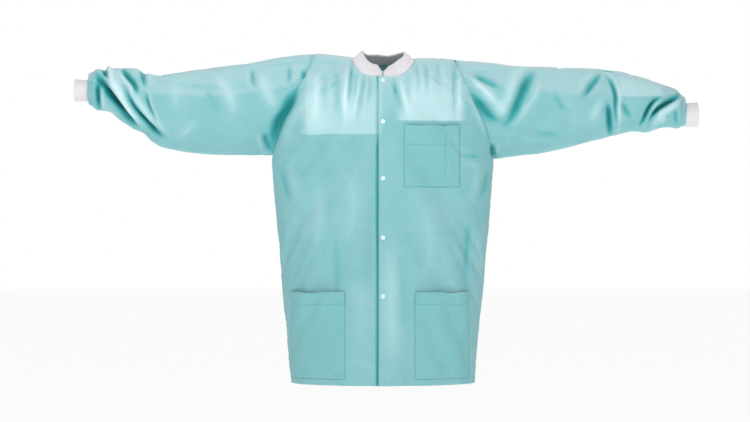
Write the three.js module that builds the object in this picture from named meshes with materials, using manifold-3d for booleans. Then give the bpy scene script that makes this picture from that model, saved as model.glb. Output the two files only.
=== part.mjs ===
// A hip-length disposable lab coat in the shape it has when it is worn with the arms held out.
// Millimetres, +Z up. The front faces -Y and +X is the wearer's left. The origin lies at the neck,
// level with the collar seam on top of the shoulders.
import * as THREE from "three";
import { mergeVertices } from "three/addons/utils/BufferGeometryUtils.js";
import Module from "manifold-3d";

const wasm = await Module();
wasm.setup();

// ---- Driving dimensions ----
const fabricWall = 2;
const gap = 0.3;

const hemHeight = -738;
const armpitHeight = -222;
const chestHalfWidth = 253;
const hemHalfWidth = 211;
const taperStart = -239;
const chestDepth = 125;
const hemDepth = 150;
const depthStart = -290;
const backChestDepth = 118;
const backHemDepth = 138;
const shoulderRounding = 110;

const shoulderHeight = 3;
const shoulderPointX = 158;
const neckHalfWidth = 70;
const frontNeckHeight = -37;
const backNeckHeight = -9;

const frontOverlapTop = 10;
const frontOverlapUnder = 9;
const placketWidth = 25;
const placketWall = 1.5;
const placketTop = -40;

const sleeveHeadLength = 101;
const upperSleeveLength = 74;
const elbowLength = 144;
const sleeveWall = 2;
// Heights of the sleeve's middle, by the distance out from the chest's side.
const sides = {
  left: {
    sign: 1,
    sleeveLength: 433,
    cuffLength: 38,
    centres: [[0, -120], [117, -115], [207, -105], [297, -97], [387, -105], [437, -120]],
  },
  right: {
    sign: -1,
    sleeveLength: 423,
    cuffLength: 32,
    centres: [[0, -113], [117, -116], [207, -113], [297, -99], [377, -74], [427, -67]],
  },
};
// Distance out from the chest's side, half height and half depth of the sleeve.
const sleeveSections = [
  [0, 108, 68],
  [117, 99, 66],
  [207, 88, 64],
  [297, 72, 56],
  [377, 53, 46],
  [419, 43, 38],
];
const sleeveLip = 14;

const cuffRadius = 25;
const cuffWall = 3.5;
const cuffGap = 1;

const collarHeight = 17;
const collarLean = 22;
const collarWall = 3;
const collarNotch = 1.5;
const collarEndShare = 0.35;

const pocketDepth = 12;
const pocketWall = 1.5;
const chestPocket = { name: "chest_pocket", inner: 46, width: 129, top: -150, height: 142 };
const lowerPocket = { name: "left_lower_pocket", inner: 70, width: 126, top: -527, height: 198 };
const rightPocketShift = 14;

const hingeTop = new THREE.Vector3(34, -123, -34);
const hingeBottom = new THREE.Vector3(90, -140, -738);
const pocketMargin = 16;
const cutReach = 60;

const snapHeights = [-49, -143, -271, -405, -537];
const snapSides = 10;
const snapRadius = 6;
const snapWall = 1.5;
const shankRadius = 1.3;
const socketDepth = 2.2;
const studNub = 1;
const studRadius = 2.1;
const studTipRadius = 1.7;
const studClearance = 0.7;
const studBase = 1;

// ---- Colours ----
const teal = 0x8fc9cb;
const white = 0xe9eaec;
const snapWhite = 0xf6f8f8;

// ---- Derived dimensions ----
const sleeveHeadEnd = sleeveHeadLength;
const upperSleeveEnd = sleeveHeadEnd + upperSleeveLength;
const elbowEnd = upperSleeveEnd + elbowLength;
const layerDrop = fabricWall + placketWall + socketDepth + studBase + 4 * gap;

const clamp = THREE.MathUtils.clamp;
const lerp = THREE.MathUtils.lerp;
const smoothstep = THREE.MathUtils.smoothstep;

// ---- Shape of the body of the coat ----
function halfWidth(z) {
  const down = clamp((taperStart - z) / (taperStart - hemHeight), 0, 1);
  return lerp(chestHalfWidth, hemHalfWidth, down);
}

function halfDepth(z, face) {
  const down = clamp((depthStart - z) / (depthStart - hemHeight), 0, 1);
  return face < 0 ? lerp(chestDepth, hemDepth, down) : lerp(backChestDepth, backHemDepth, down);
}

function shoulderLine(x) {
  return shoulderHeight - 9 * smoothstep(Math.abs(x), 130, chestHalfWidth);
}

function armholeX(z) {
  const down = clamp((shoulderHeight - z) / (shoulderHeight - armpitHeight), 0, 1);
  return lerp(shoulderPointX, chestHalfWidth - 1, 1 - (1 - down) ** 1.4);
}

function neckline(x, face) {
  const out = clamp(Math.abs(x) / neckHalfWidth, 0, 1);
  return lerp(face < 0 ? frontNeckHeight : backNeckHeight, shoulderHeight, out ** 4);
}

// A point of the coat's surface from a turn about the body, a height and a face (-1 front, 1 back).
function bodyPoint(turn, z, face, drop = 0) {
  const x = halfWidth(z) * Math.sin(turn);
  const below = shoulderLine(x) - z;
  const rounding = Math.sqrt(1 - (1 - clamp(below / shoulderRounding, 0, 1)) ** 2);
  const depth = halfDepth(z, face) * Math.abs(Math.cos(turn)) ** 0.85 * rounding;
  return new THREE.Vector3(x, face * (depth - drop + gap / 2), z);
}

function turnAt(x, z) {
  return Math.asin(clamp(x / halfWidth(z), -1, 1));
}

// Across: 0 at the inner edge, 1 at the side seam and armhole. Rise: 0 at the hem, 1 at the top edge.
// Equal steps of rise lie closer together near the shoulders, where the surface bends most.
function panelPoint(across, rise, face, innerEdge, dropAt) {
  const neckShare = 0.4;
  const up = 1 - (1 - rise) ** 1.5;
  const topX = across < neckShare
    ? lerp(innerEdge, neckHalfWidth, across / neckShare)
    : lerp(neckHalfWidth, shoulderPointX, (across - neckShare) / (1 - neckShare));
  const topZ = across < neckShare ? neckline(topX, face) : shoulderLine(topX);
  const z = lerp(hemHeight, topZ, up);
  const sideZ = lerp(hemHeight, shoulderLine(shoulderPointX), up);
  const sideTurn = sideZ < armpitHeight ? Math.PI / 2 : turnAt(armholeX(sideZ), sideZ);
  const straight = lerp(turnAt(innerEdge, 0), turnAt(shoulderPointX, 0), across);
  const turn = lerp(turnAt(innerEdge, z), sideTurn, across) + up * (turnAt(topX, 0) - straight);
  return bodyPoint(turn, z, face, dropAt ? dropAt(halfWidth(z) * Math.sin(turn)) : 0);
}

// ---- Shape of the sleeves ----
function between(stations, at, column) {
  let i = 1;
  while (i < stations.length - 1 && stations[i][0] < at) i += 1;
  const [a, b] = [stations[i - 1], stations[i]];
  return lerp(a[column], b[column], clamp((at - a[0]) / (b[0] - a[0]), 0, 1));
}

function sleevePoint(side, around, out) {
  const rise = Math.cos(2 * Math.PI * around);
  const front = -Math.sin(2 * Math.PI * around);
  const lip = smoothstep(out, side.sleeveLength - sleeveLip, side.sleeveLength);
  const half = lerp(between(sleeveSections, out, 1), cuffRadius + gap, lip);
  const depth = lerp(between(sleeveSections, out, 2), cuffRadius + gap, lip);
  const x = side.sign * (chestHalfWidth + out);
  return new THREE.Vector3(x, depth * front, between(side.centres, out, 1) + half * rise);
}

// The armhole seam as a loop: 0 on top of the shoulder, 0.5 in the armpit, the front half first.
function armholePoint(side, around) {
  const top = shoulderLine(shoulderPointX);
  const z = lerp(armpitHeight, top, (1 + Math.cos(2 * Math.PI * around)) / 2);
  const face = around < 0.5 ? -1 : 1;
  const seam = bodyPoint(turnAt(armholeX(z), z), z, face);
  return new THREE.Vector3(side.sign * (seam.x + fabricWall + gap), seam.y, z);
}

function sleeveHeadPoint(side, around, out) {
  return armholePoint(side, around).lerp(sleevePoint(side, around, sleeveHeadEnd), out);
}

// ---- Solids ----
function outwardNormal(surface, u, v, closed) {
  const step = 1e-4;
  const [u0, u1] = closed ? [u - step, u + step] : [Math.max(u - step, 0), Math.min(u + step, 1)];
  const [v0, v1] = [Math.max(v - step, 0), Math.min(v + step, 1)];
  const wrap = (value) => (closed ? (value + 1) % 1 : value);
  const along = surface(wrap(u1), v).sub(surface(wrap(u0), v));
  const up = surface(u, v1).sub(surface(u, v0));
  return along.cross(up).normalize();
}

function signedVolume(points, index) {
  let volume = 0;
  for (let i = 0; i < index.length; i += 3) {
    const [a, b, c] = [points[index[i]], points[index[i + 1]], points[index[i + 2]]];
    volume += a.dot(b.clone().cross(c)) / 6;
  }
  return volume;
}

function geometryOf(points, index) {
  const faces = signedVolume(points, index) < 0 ? [...index].reverse() : index;
  return new THREE.BufferGeometry().setFromPoints(points).setIndex(faces);
}

// A sheet with a wall: surface(u, v) is its outer face, outer and inner are the offsets of its two
// faces along the normal, and turned says that the normal points out of the coat. A panel's face
// keeps it on its own side of the side seams and the shoulder seams.
function sheetGeometry(surface, size) {
  const { columns, rows, outer = 0, inner = -fabricWall, closed, turned, face = 0 } = size;
  const across = closed ? columns : columns + 1;
  const points = [];
  for (const offset of [outer, inner]) {
    for (let i = 0; i < across; i += 1) {
      for (let j = 0; j <= rows; j += 1) {
        const normal = outwardNormal(surface, i / columns, j / rows, closed);
        if (!turned) normal.negate();
        const point = surface(i / columns, j / rows).addScaledVector(normal, offset);
        if (face) point.y = face * Math.max(face * point.y, gap / 2);
        points.push(point);
      }
    }
  }
  const layer = across * (rows + 1);
  const at = (i, j, k) => k * layer + (i % across) * (rows + 1) + j;
  const index = [];
  const quad = (a, b, c, d) => index.push(a, b, c, a, c, d);
  for (let i = 0; i < columns; i += 1) {
    for (let j = 0; j < rows; j += 1) {
      quad(at(i, j, 0), at(i + 1, j, 0), at(i + 1, j + 1, 0), at(i, j + 1, 0));
      quad(at(i, j, 1), at(i, j + 1, 1), at(i + 1, j + 1, 1), at(i + 1, j, 1));
    }
    quad(at(i, 0, 0), at(i, 0, 1), at(i + 1, 0, 1), at(i + 1, 0, 0));
    quad(at(i, rows, 0), at(i + 1, rows, 0), at(i + 1, rows, 1), at(i, rows, 1));
  }
  if (!closed) {
    for (let j = 0; j < rows; j += 1) {
      quad(at(0, j, 0), at(0, j + 1, 0), at(0, j + 1, 1), at(0, j, 1));
      quad(at(columns, j, 0), at(columns, j, 1), at(columns, j + 1, 1), at(columns, j + 1, 0));
    }
  }
  return geometryOf(points, index);
}

function solidOf(geometry) {
  const plain = geometry.clone();
  plain.deleteAttribute("normal");
  plain.deleteAttribute("uv");
  const merged = mergeVertices(plain, 1e-4);
  return new wasm.Manifold(new wasm.Mesh({
    numProp: 3,
    vertProperties: merged.attributes.position.array,
    triVerts: new Uint32Array(merged.index.array),
  }));
}

function geometryFrom(solid) {
  const mesh = solid.getMesh();
  return new THREE.BufferGeometry()
    .setAttribute("position", new THREE.BufferAttribute(mesh.vertProperties, 3))
    .setIndex(new THREE.BufferAttribute(mesh.triVerts, 1));
}

const coat = new THREE.Group();

function add(name, geometry, colour, roughness = 0.85) {
  geometry.computeVertexNormals();
  const material = new THREE.MeshStandardMaterial({ color: colour, roughness, metalness: 0 });
  const mesh = new THREE.Mesh(geometry, material);
  mesh.name = name;
  coat.add(mesh);
  return mesh;
}

// ---- Hinge line of the fronts ----
function hingeX(z) {
  return lerp(hingeTop.x, hingeBottom.x, (hingeTop.z - z) / (hingeTop.z - hingeBottom.z));
}

// Outline of the part of a front that swings, seen from the front: it stops short of the pockets.
function flapOutline(pockets, grow) {
  const top = shoulderHeight + 40;
  const points = [new THREE.Vector2(-60, top), new THREE.Vector2(hingeX(top) + grow, top)];
  for (const pocket of pockets) {
    const edge = pocket.inner - pocketMargin + grow;
    const upper = pocket.top + pocketMargin - grow;
    const lower = pocket.top - pocket.height - pocketMargin + grow;
    if (hingeX(lower) + grow < edge) continue;
    const meets = hingeX(upper) + grow < edge
      ? hingeTop.z - (hingeTop.z - hingeBottom.z) * (edge - grow - hingeTop.x)
        / (hingeBottom.x - hingeTop.x)
      : upper;
    points.push(new THREE.Vector2(hingeX(meets) + grow, meets), new THREE.Vector2(edge, meets));
    points.push(new THREE.Vector2(edge, lower), new THREE.Vector2(hingeX(lower) + grow, lower));
  }
  points.push(new THREE.Vector2(hingeX(hemHeight - 20) + grow, hemHeight - 20));
  points.push(new THREE.Vector2(-60, hemHeight - 20));
  return new THREE.Shape(points.filter((p, i) => i === 0 || p.distanceTo(points[i - 1]) > 1e-3));
}

function outlineSolid(outline, sign) {
  const depth = 400;
  const block = new THREE.ExtrudeGeometry(outline, { depth, bevelEnabled: false });
  block.rotateX(Math.PI / 2);
  if (sign < 0) {
    block.rotateZ(Math.PI);
    block.translate(0, -depth, 0);
  }
  return solidOf(block);
}

// ---- Snaps ----
function snapPlace(z) {
  const surface = (u, v) => bodyPoint(turnAt(lerp(-5, 5, u), z), lerp(z - 5, z + 5, v), -1);
  const out = outwardNormal(surface, 0.5, 0.5, false);
  if (out.y > 0) out.negate();
  return { at: surface(0.5, 0.5), out };
}

// A turned piece on the snap's axis; its profile's heights are distances out of the coat's face.
function snapGeometry(place, profile) {
  const outline = profile.map(([radius, height]) => new THREE.Vector2(radius, height));
  const geometry = new THREE.LatheGeometry(outline, snapSides);
  const turn = new THREE.Quaternion().setFromUnitVectors(new THREE.Vector3(0, 1, 0), place.out);
  geometry.applyQuaternion(turn);
  geometry.translate(place.at.x, place.at.y, place.at.z);
  geometry.deleteAttribute("normal");
  geometry.deleteAttribute("uv");
  const merged = mergeVertices(geometry, 1e-4);
  const position = merged.attributes.position;
  const points = Array.from({ length: position.count }, (_, i) =>
    new THREE.Vector3().fromBufferAttribute(position, i));
  return geometryOf(points, Array.from(merged.index.array));
}

const faces = {};
faces.placketOut = -fabricWall - gap;
faces.placketIn = faces.placketOut - placketWall;
faces.socketOut = faces.placketIn - gap;
faces.socketIn = faces.socketOut - socketDepth;
faces.studOut = faces.socketIn - gap;
faces.studIn = faces.studOut - studBase;
faces.underOut = -layerDrop;
faces.underIn = faces.underOut - fabricWall - gap - placketWall;

const snapProfiles = {
  cap: [
    [0, faces.socketOut - 0.6],
    [shankRadius, faces.socketOut - 0.6],
    [shankRadius, gap],
    [snapRadius - 0.5, gap],
    [snapRadius, gap + 0.5],
    [snapRadius - 1, gap + snapWall - 0.3],
    [snapRadius / 2, gap + snapWall],
    [0, gap + snapWall],
  ],
  socket: [
    [shankRadius + gap, faces.socketOut],
    [studRadius + studClearance, faces.socketOut - 0.8],
    [studRadius + studClearance, faces.socketIn],
    [snapRadius - 1, faces.socketIn],
    [snapRadius - 0.5, faces.socketOut],
    [shankRadius + gap, faces.socketOut],
  ],
  stud: [
    [shankRadius + gap, faces.studIn],
    [snapRadius - 0.5, faces.studIn],
    [snapRadius - 0.5, faces.studOut],
    [studRadius, faces.studOut],
    [studTipRadius, faces.studOut + studNub],
    [shankRadius + gap, faces.studOut + studNub],
    [shankRadius + gap, faces.studIn],
  ],
  ring: [
    [0, faces.underIn - gap - snapWall],
    [snapRadius - 0.5, faces.underIn - gap - snapWall],
    [snapRadius - 0.5, faces.underIn - gap],
    [shankRadius, faces.underIn - gap],
    [shankRadius, faces.studOut],
    [0, faces.studOut],
  ],
};

// What each snap takes out of a layer of cloth: its hole, and the cloth pressed flat around it.
function pierce(solid, outer, inner) {
  const hole = shankRadius + gap;
  const seat = snapRadius + gap;
  const rod = (radius, low, high) => [[0, low], [radius, low], [radius, high], [0, high]];
  const cuts = [rod(hole, -cutReach, cutReach), rod(seat, outer, cutReach), rod(seat, -cutReach, inner)];
  let left = solid;
  for (const z of snapHeights) {
    for (const cut of cuts) {
      left = left.subtract(solidOf(snapGeometry(snapPlace(z), cut)));
    }
  }
  return left;
}

function addSnaps() {
  snapHeights.forEach((z, i) => {
    const place = snapPlace(z);
    for (const [piece, profile] of Object.entries(snapProfiles)) {
      add(`snap_${i + 1}_${piece}`, snapGeometry(place, profile), snapWhite, 0.35);
    }
  });
}

// ---- Panels ----
function addBack() {
  const surface = (u, v) => {
    const across = Math.abs(2 * u - 1);
    const point = panelPoint(across, v, 1, 0);
    point.x *= Math.sign(2 * u - 1);
    return point;
  };
  add("back_panel", sheetGeometry(surface, { columns: 20, rows: 12, turned: false, face: 1 }), teal);
}

function frontSurface(sign, innerEdge, drop) {
  const dropAt = (x) => drop * (1 - smoothstep(x, 20, 48));
  return (u, v) => {
    const point = panelPoint(u, v, -1, innerEdge, dropAt);
    point.x *= sign;
    return point;
  };
}

const frontGrid = { columns: 12, rows: 13 };

// A box seen from the front, as deep as the coat, that cuts a strip or a pocket out of a sheet.
function frontBlock(sign, x0, x1, z0, z1) {
  const outline = new THREE.Shape([
    new THREE.Vector2(x0, z0),
    new THREE.Vector2(x1, z0),
    new THREE.Vector2(x1, z1),
    new THREE.Vector2(x0, z1),
  ]);
  return outlineSolid(outline, sign);
}

function addFront(name, sign, edge, drop, pockets) {
  const surface = frontSurface(sign, -edge, drop);
  const layer = (outer, inner) =>
    solidOf(sheetGeometry(surface, { ...frontGrid, outer, inner, turned: sign > 0, face: -1 }));
  const placketOuter = -fabricWall - gap;
  const placketInner = placketOuter - placketWall;
  const cut = pierce(layer(0, -fabricWall), -drop, placketInner - drop);
  const fixed = cut.subtract(outlineSolid(flapOutline(pockets, gap), sign));
  const flap = cut.intersect(outlineSolid(flapOutline(pockets, 0), sign));
  add(`front_${name}_panel`, geometryFrom(fixed), teal);
  add(`front_${name}_flap`, geometryFrom(flap), teal);
  const strip = frontBlock(sign, -edge, placketWidth - edge, hemHeight, placketTop);
  const placket = pierce(layer(placketOuter, placketInner), -drop, placketInner - drop);
  add(`${name}_placket`, geometryFrom(placket.intersect(strip)), teal);
  for (const pocket of pockets) {
    addPocket(pocket, sign, layer);
  }
}

// A pouch, open at the top, that stands on the front panel: the panel is its back wall.
function addPocket(pocket, sign, layer) {
  const { inner, width, top, height } = pocket;
  const rim = pocketWall * 2;
  const block = frontBlock(sign, inner, inner + width, top - height, top);
  const room = frontBlock(sign, inner + rim, inner + width - rim, top - height + rim, top + 10);
  const outside = layer(pocketDepth, gap).intersect(block);
  const inside = layer(pocketDepth - pocketWall, gap - 1).intersect(room);
  add(pocket.name, geometryFrom(outside.subtract(inside)), teal);
}

// ---- Sleeves, cuffs and collar ----
function addSleeve(name, side) {
  const span = (from, to) => (u, v) => sleevePoint(side, u, lerp(from, to, v));
  const size = { columns: 18, closed: true, turned: side.sign < 0, inner: -sleeveWall };
  const head = (u, v) => sleeveHeadPoint(side, u, v);
  add(`${name}_sleeve_head`, sheetGeometry(head, { ...size, rows: 3 }), teal);
  const upper = span(sleeveHeadEnd + gap, upperSleeveEnd);
  add(`${name}_upper_sleeve`, sheetGeometry(upper, { ...size, rows: 1 }), teal);
  const elbow = span(upperSleeveEnd + gap, elbowEnd);
  add(`${name}_elbow_section`, sheetGeometry(elbow, { ...size, rows: 2 }), teal);
  const forearm = span(elbowEnd + gap, side.sleeveLength);
  add(`${name}_forearm_sleeve`, sheetGeometry(forearm, { ...size, rows: 5 }), teal);
  const cuff = (u, v) => {
    const cuffStart = chestHalfWidth + side.sleeveLength + cuffGap;
    const x = lerp(cuffStart, cuffStart - cuffGap + side.cuffLength, v);
    const centre = between(side.centres, side.sleeveLength, 1);
    const rise = cuffRadius * Math.cos(2 * Math.PI * u);
    return new THREE.Vector3(side.sign * x, -cuffRadius * Math.sin(2 * Math.PI * u), centre + rise);
  };
  add(`${name}_cuff`, sheetGeometry(cuff, { ...size, rows: 1, inner: -cuffWall }), white);
}

// The collar is a band that stands on the neckline and leans in. It narrows to its two front ends.
function addCollar() {
  const seat = (turn) => {
    const face = Math.cos(turn) > 0 ? -1 : 1;
    const x = neckHalfWidth * Math.sin(turn);
    const z = neckline(x, face);
    return bodyPoint(turnAt(x, z), z, face);
  };
  const surface = (u, v) => {
    const turn = lerp(-Math.PI, Math.PI, u) + Math.PI;
    const notch = collarNotch / neckHalfWidth;
    const foot = seat(clamp(turn, notch, 2 * Math.PI - notch));
    const full = smoothstep(Math.min(turn, 2 * Math.PI - turn), 0.1, 1);
    const share = v * lerp(collarEndShare, 1, full);
    const inward = new THREE.Vector3(-foot.x, -foot.y - 15, 0).setLength(share * collarLean);
    return foot.add(inward).add(new THREE.Vector3(0, 0, collarWall + gap + share * collarHeight));
  };
  const size = { columns: 32, rows: 2, inner: -collarWall, turned: true };
  add("collar", sheetGeometry(surface, size), white);
}

addBack();
addFront("left", 1, frontOverlapTop, 0, [chestPocket, lowerPocket]);
const rightPocket = {
  ...lowerPocket,
  name: "right_lower_pocket",
  inner: lowerPocket.inner + rightPocketShift,
};
addFront("right", -1, frontOverlapUnder, layerDrop, [rightPocket]);
addSleeve("left", sides.left);
addSleeve("right", sides.right);
addCollar();
addSnaps();

export default coat;
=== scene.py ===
import math

import bmesh
import bpy
import numpy as np
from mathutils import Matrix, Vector
from mathutils.bvhtree import BVHTree


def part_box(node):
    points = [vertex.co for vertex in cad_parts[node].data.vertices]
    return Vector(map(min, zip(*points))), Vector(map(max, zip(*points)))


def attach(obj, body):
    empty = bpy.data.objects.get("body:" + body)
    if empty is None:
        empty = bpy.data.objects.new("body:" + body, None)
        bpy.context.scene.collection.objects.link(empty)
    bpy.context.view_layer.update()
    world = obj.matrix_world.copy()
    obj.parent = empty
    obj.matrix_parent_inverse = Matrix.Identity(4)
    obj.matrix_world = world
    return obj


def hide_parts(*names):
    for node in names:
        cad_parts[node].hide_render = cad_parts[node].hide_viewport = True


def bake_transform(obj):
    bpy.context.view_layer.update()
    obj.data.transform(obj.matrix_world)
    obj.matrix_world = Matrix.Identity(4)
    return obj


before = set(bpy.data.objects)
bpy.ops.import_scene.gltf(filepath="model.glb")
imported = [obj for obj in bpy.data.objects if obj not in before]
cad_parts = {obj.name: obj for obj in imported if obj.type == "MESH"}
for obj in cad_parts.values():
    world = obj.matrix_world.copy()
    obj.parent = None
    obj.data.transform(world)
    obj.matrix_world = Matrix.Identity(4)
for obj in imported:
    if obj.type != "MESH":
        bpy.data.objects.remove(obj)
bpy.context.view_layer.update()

print("frame loaded")


def placed(name, data):
    thing = bpy.data.objects.new(name, data)
    bpy.context.scene.collection.objects.link(thing)
    return thing


def unit(ways):
    return ways / np.linalg.norm(ways, axis=-1)[..., None]


studio = {
    "cameraPlace": (-0.018, -6.0, -0.345),
    "viewWidth": 1.725,           # metres across the picture at the coat
    "sensor": 36.0,
    "floorHeight": -1.42,
    "floorGlow": 0.62,
    "skyLight": 0.36,             # what falls on the coat; the backdrop itself is seen as white
    "lamps": {
        "keyLight": ((-0.35, -1.9, 1.5), (0.0, 0.0, -0.25), 1.3, 38),
        "fillLight": ((2.4, -3.4, 0.3), (0.2, 0.0, -0.3), 2.0, 14),
        "backLight": ((0.4, 3.0, 2.4), (0.0, 0.0, -0.2), 2.0, 40),
    },
}


def makeStudio():
    camera = placed("camera", bpy.data.cameras.new("camera"))
    camera.data.sensor_width = studio["sensor"]
    camera.data.lens = studio["sensor"] * -studio["cameraPlace"][1] / studio["viewWidth"]
    camera.data.clip_end = 100
    camera.location = studio["cameraPlace"]
    camera.rotation_euler = (math.pi / 2, 0, 0)
    bpy.context.scene.camera = camera

    world = bpy.data.worlds.new("studio")
    world.use_nodes = True
    nodes, links = world.node_tree.nodes, world.node_tree.links
    sky = nodes["Background"]
    sky.inputs["Strength"].default_value = studio["skyLight"]
    sky.inputs["Color"].default_value = (1, 1, 1, 1)
    seen = nodes.new("ShaderNodeBackground")
    seen.inputs["Color"].default_value = (1, 1, 1, 1)
    ray = nodes.new("ShaderNodeLightPath")
    pick = nodes.new("ShaderNodeMixShader")
    links.new(ray.outputs["Is Camera Ray"], pick.inputs[0])
    links.new(sky.outputs[0], pick.inputs[1])
    links.new(seen.outputs[0], pick.inputs[2])
    links.new(pick.outputs[0], nodes["World Output"].inputs["Surface"])
    bpy.context.scene.world = world
    bpy.context.scene.view_settings.view_transform = "Standard"

    for name, (place, target, size, power) in studio["lamps"].items():
        lamp = placed(name, bpy.data.lights.new(name, "AREA"))
        lamp.data.size = size
        lamp.data.energy = power
        lamp.location = place
        aim = Vector(target) - Vector(place)
        lamp.rotation_euler = aim.to_track_quat("-Z", "Y").to_euler()

    bpy.ops.mesh.primitive_plane_add(size=60, location=(0, 0, studio["floorHeight"]))
    floor = bpy.context.object
    floor.name = "floor"
    pale = bpy.data.materials.new("paleFloor")
    pale.use_nodes = True
    shader = pale.node_tree.nodes["Principled BSDF"]
    shader.inputs["Base Color"].default_value = (0.93, 0.93, 0.93, 1)
    shader.inputs["Roughness"].default_value = 0.9
    shader.inputs["Emission Color"].default_value = (1, 1, 1, 1)
    shader.inputs["Emission Strength"].default_value = studio["floorGlow"]
    floor.data.materials.append(pale)


makeStudio()

# the coat as it is worn, in metres
coat = {
    "hem": -0.738,
    "armpit": -0.222,
    "shoulder": 0.003,
    "chestHalf": 0.253,
    "hemHalf": 0.211,
    "taperStart": -0.239,
    "depth": {-1: (0.125, 0.150), 1: (0.118, 0.138)},   # chest and hem, front and back
    "depthStart": -0.290,
    "rounding": {-1: 0.175, 1: 0.110},     # how far below the shoulders the chest and back swell out
    "shoulderPoint": 0.158,
    "neckHalf": 0.070,
    "neckDrop": {-1: -0.037, 1: -0.009},
    "topEdge": -0.010,            # left front, the upper layer, ends here
    "underEdge": 0.009,           # right front, the lower layer, ends here
    "underDrop": 0.0045,
    "columns": 34,
    "neckColumns": 0.4,           # this share of them is under the collar
    "rowsBelow": 64,
    "rowsAbove": 28,
    "shoulderLine": [(-0.26, 0.0), (-0.19, 0.005), (-0.145, 0.010), (-0.10, 0.006), (-0.07, 0.003),
                     (0.07, 0.0), (0.131, -0.001), (0.177, -0.006), (0.23, -0.017), (0.26, -0.019)],
}

# distance out along x, top, bottom, half depth
sleeves = {
    "left": {
        "sign": 1,
        "shape": [(0.25, -0.012, -0.226, 0.066), (0.315, -0.015, -0.222, 0.062),
                  (0.361, -0.016, -0.213, 0.060), (0.407, -0.018, -0.203, 0.058),
                  (0.453, -0.018, -0.192, 0.056), (0.499, -0.020, -0.181, 0.054),
                  (0.545, -0.026, -0.168, 0.051), (0.575, -0.033, -0.160, 0.048),
                  (0.605, -0.041, -0.165, 0.046), (0.637, -0.053, -0.153, 0.043),
                  (0.660, -0.060, -0.152, 0.042), (0.694, -0.073, -0.160, 0.040)],
        "end": 0.694,
        "wrist": -0.124,
        "cuffRadius": 0.0265,
    },
    "right": {
        "sign": -1,
        "shape": [(0.25, -0.002, -0.218, 0.066), (0.33, -0.010, -0.217, 0.062),
                  (0.375, -0.016, -0.216, 0.060), (0.421, -0.022, -0.213, 0.058),
                  (0.467, -0.028, -0.207, 0.056), (0.510, -0.032, -0.198, 0.054),
                  (0.535, -0.032, -0.184, 0.052), (0.548, -0.028, -0.166, 0.051),
                  (0.560, -0.019, -0.163, 0.050), (0.577, -0.016, -0.157, 0.048),
                  (0.602, -0.016, -0.141, 0.047), (0.628, -0.017, -0.117, 0.044),
                  (0.640, -0.022, -0.1145, 0.042), (0.652, -0.019, -0.114, 0.042),
                  (0.676, -0.017, -0.111, 0.040)],
        "end": 0.676,
        "wrist": -0.068,
        "cuffRadius": 0.0240,
    },
}
sleeveRings = {"head": 18, "arm": 45, "tuck": 4, "headEnd": 0.354, "split": 0.408}


def smooth(value, low, high):
    t = np.clip((np.asarray(value, float) - low) / (high - low), 0, 1)
    return t * t * (3 - 2 * t)


def softInterp(x, points, spread=0.018):
    # a smoothed run through the points
    xs, ys = np.array(points, float).T
    taps = np.linspace(-1, 1, 9)
    weights = np.exp(-2 * taps ** 2)
    total = sum(w * np.interp(np.asarray(x) + t * spread, xs, ys) for t, w in zip(taps, weights))
    return total / weights.sum()


def halfWidth(z):
    down = np.clip((coat["taperStart"] - z) / (coat["taperStart"] - coat["hem"]), 0, 1)
    return coat["chestHalf"] + (coat["hemHalf"] - coat["chestHalf"]) * down


def halfDepth(z, face):
    chest, hem = coat["depth"][face]
    down = np.clip((coat["depthStart"] - z) / (coat["depthStart"] - coat["hem"]), 0, 1)
    return chest + (hem - chest) * down


def shoulderLine(x):
    return softInterp(x, coat["shoulderLine"])


def armholeX(z):
    span = coat["shoulder"] - coat["armpit"]
    down = np.clip((coat["shoulder"] - z) / span, 0, 1)
    side = coat["chestHalf"] - 0.001
    return coat["shoulderPoint"] + (side - coat["shoulderPoint"]) * (1 - (1 - down) ** 1.4)


def bodyPoint(turn, z, face, sign, drop=0.0):
    # a point of the coat's body from a turn about it, a height and a face (-1 front, 1 back)
    x = halfWidth(z) * np.sin(turn)
    below = np.clip((shoulderLine(sign * x) - z) / coat["rounding"][face], 0, 1)
    swell = np.sqrt(1 - (1 - below) ** 2)
    depth = halfDepth(z, face) * np.abs(np.cos(turn)) ** 0.85 * swell
    return np.stack([sign * x, face * np.maximum(depth - drop, 0), z + 0 * x], -1)


def turnAt(x, z):
    return np.arcsin(np.clip(x / halfWidth(z), -1, 1))


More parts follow.
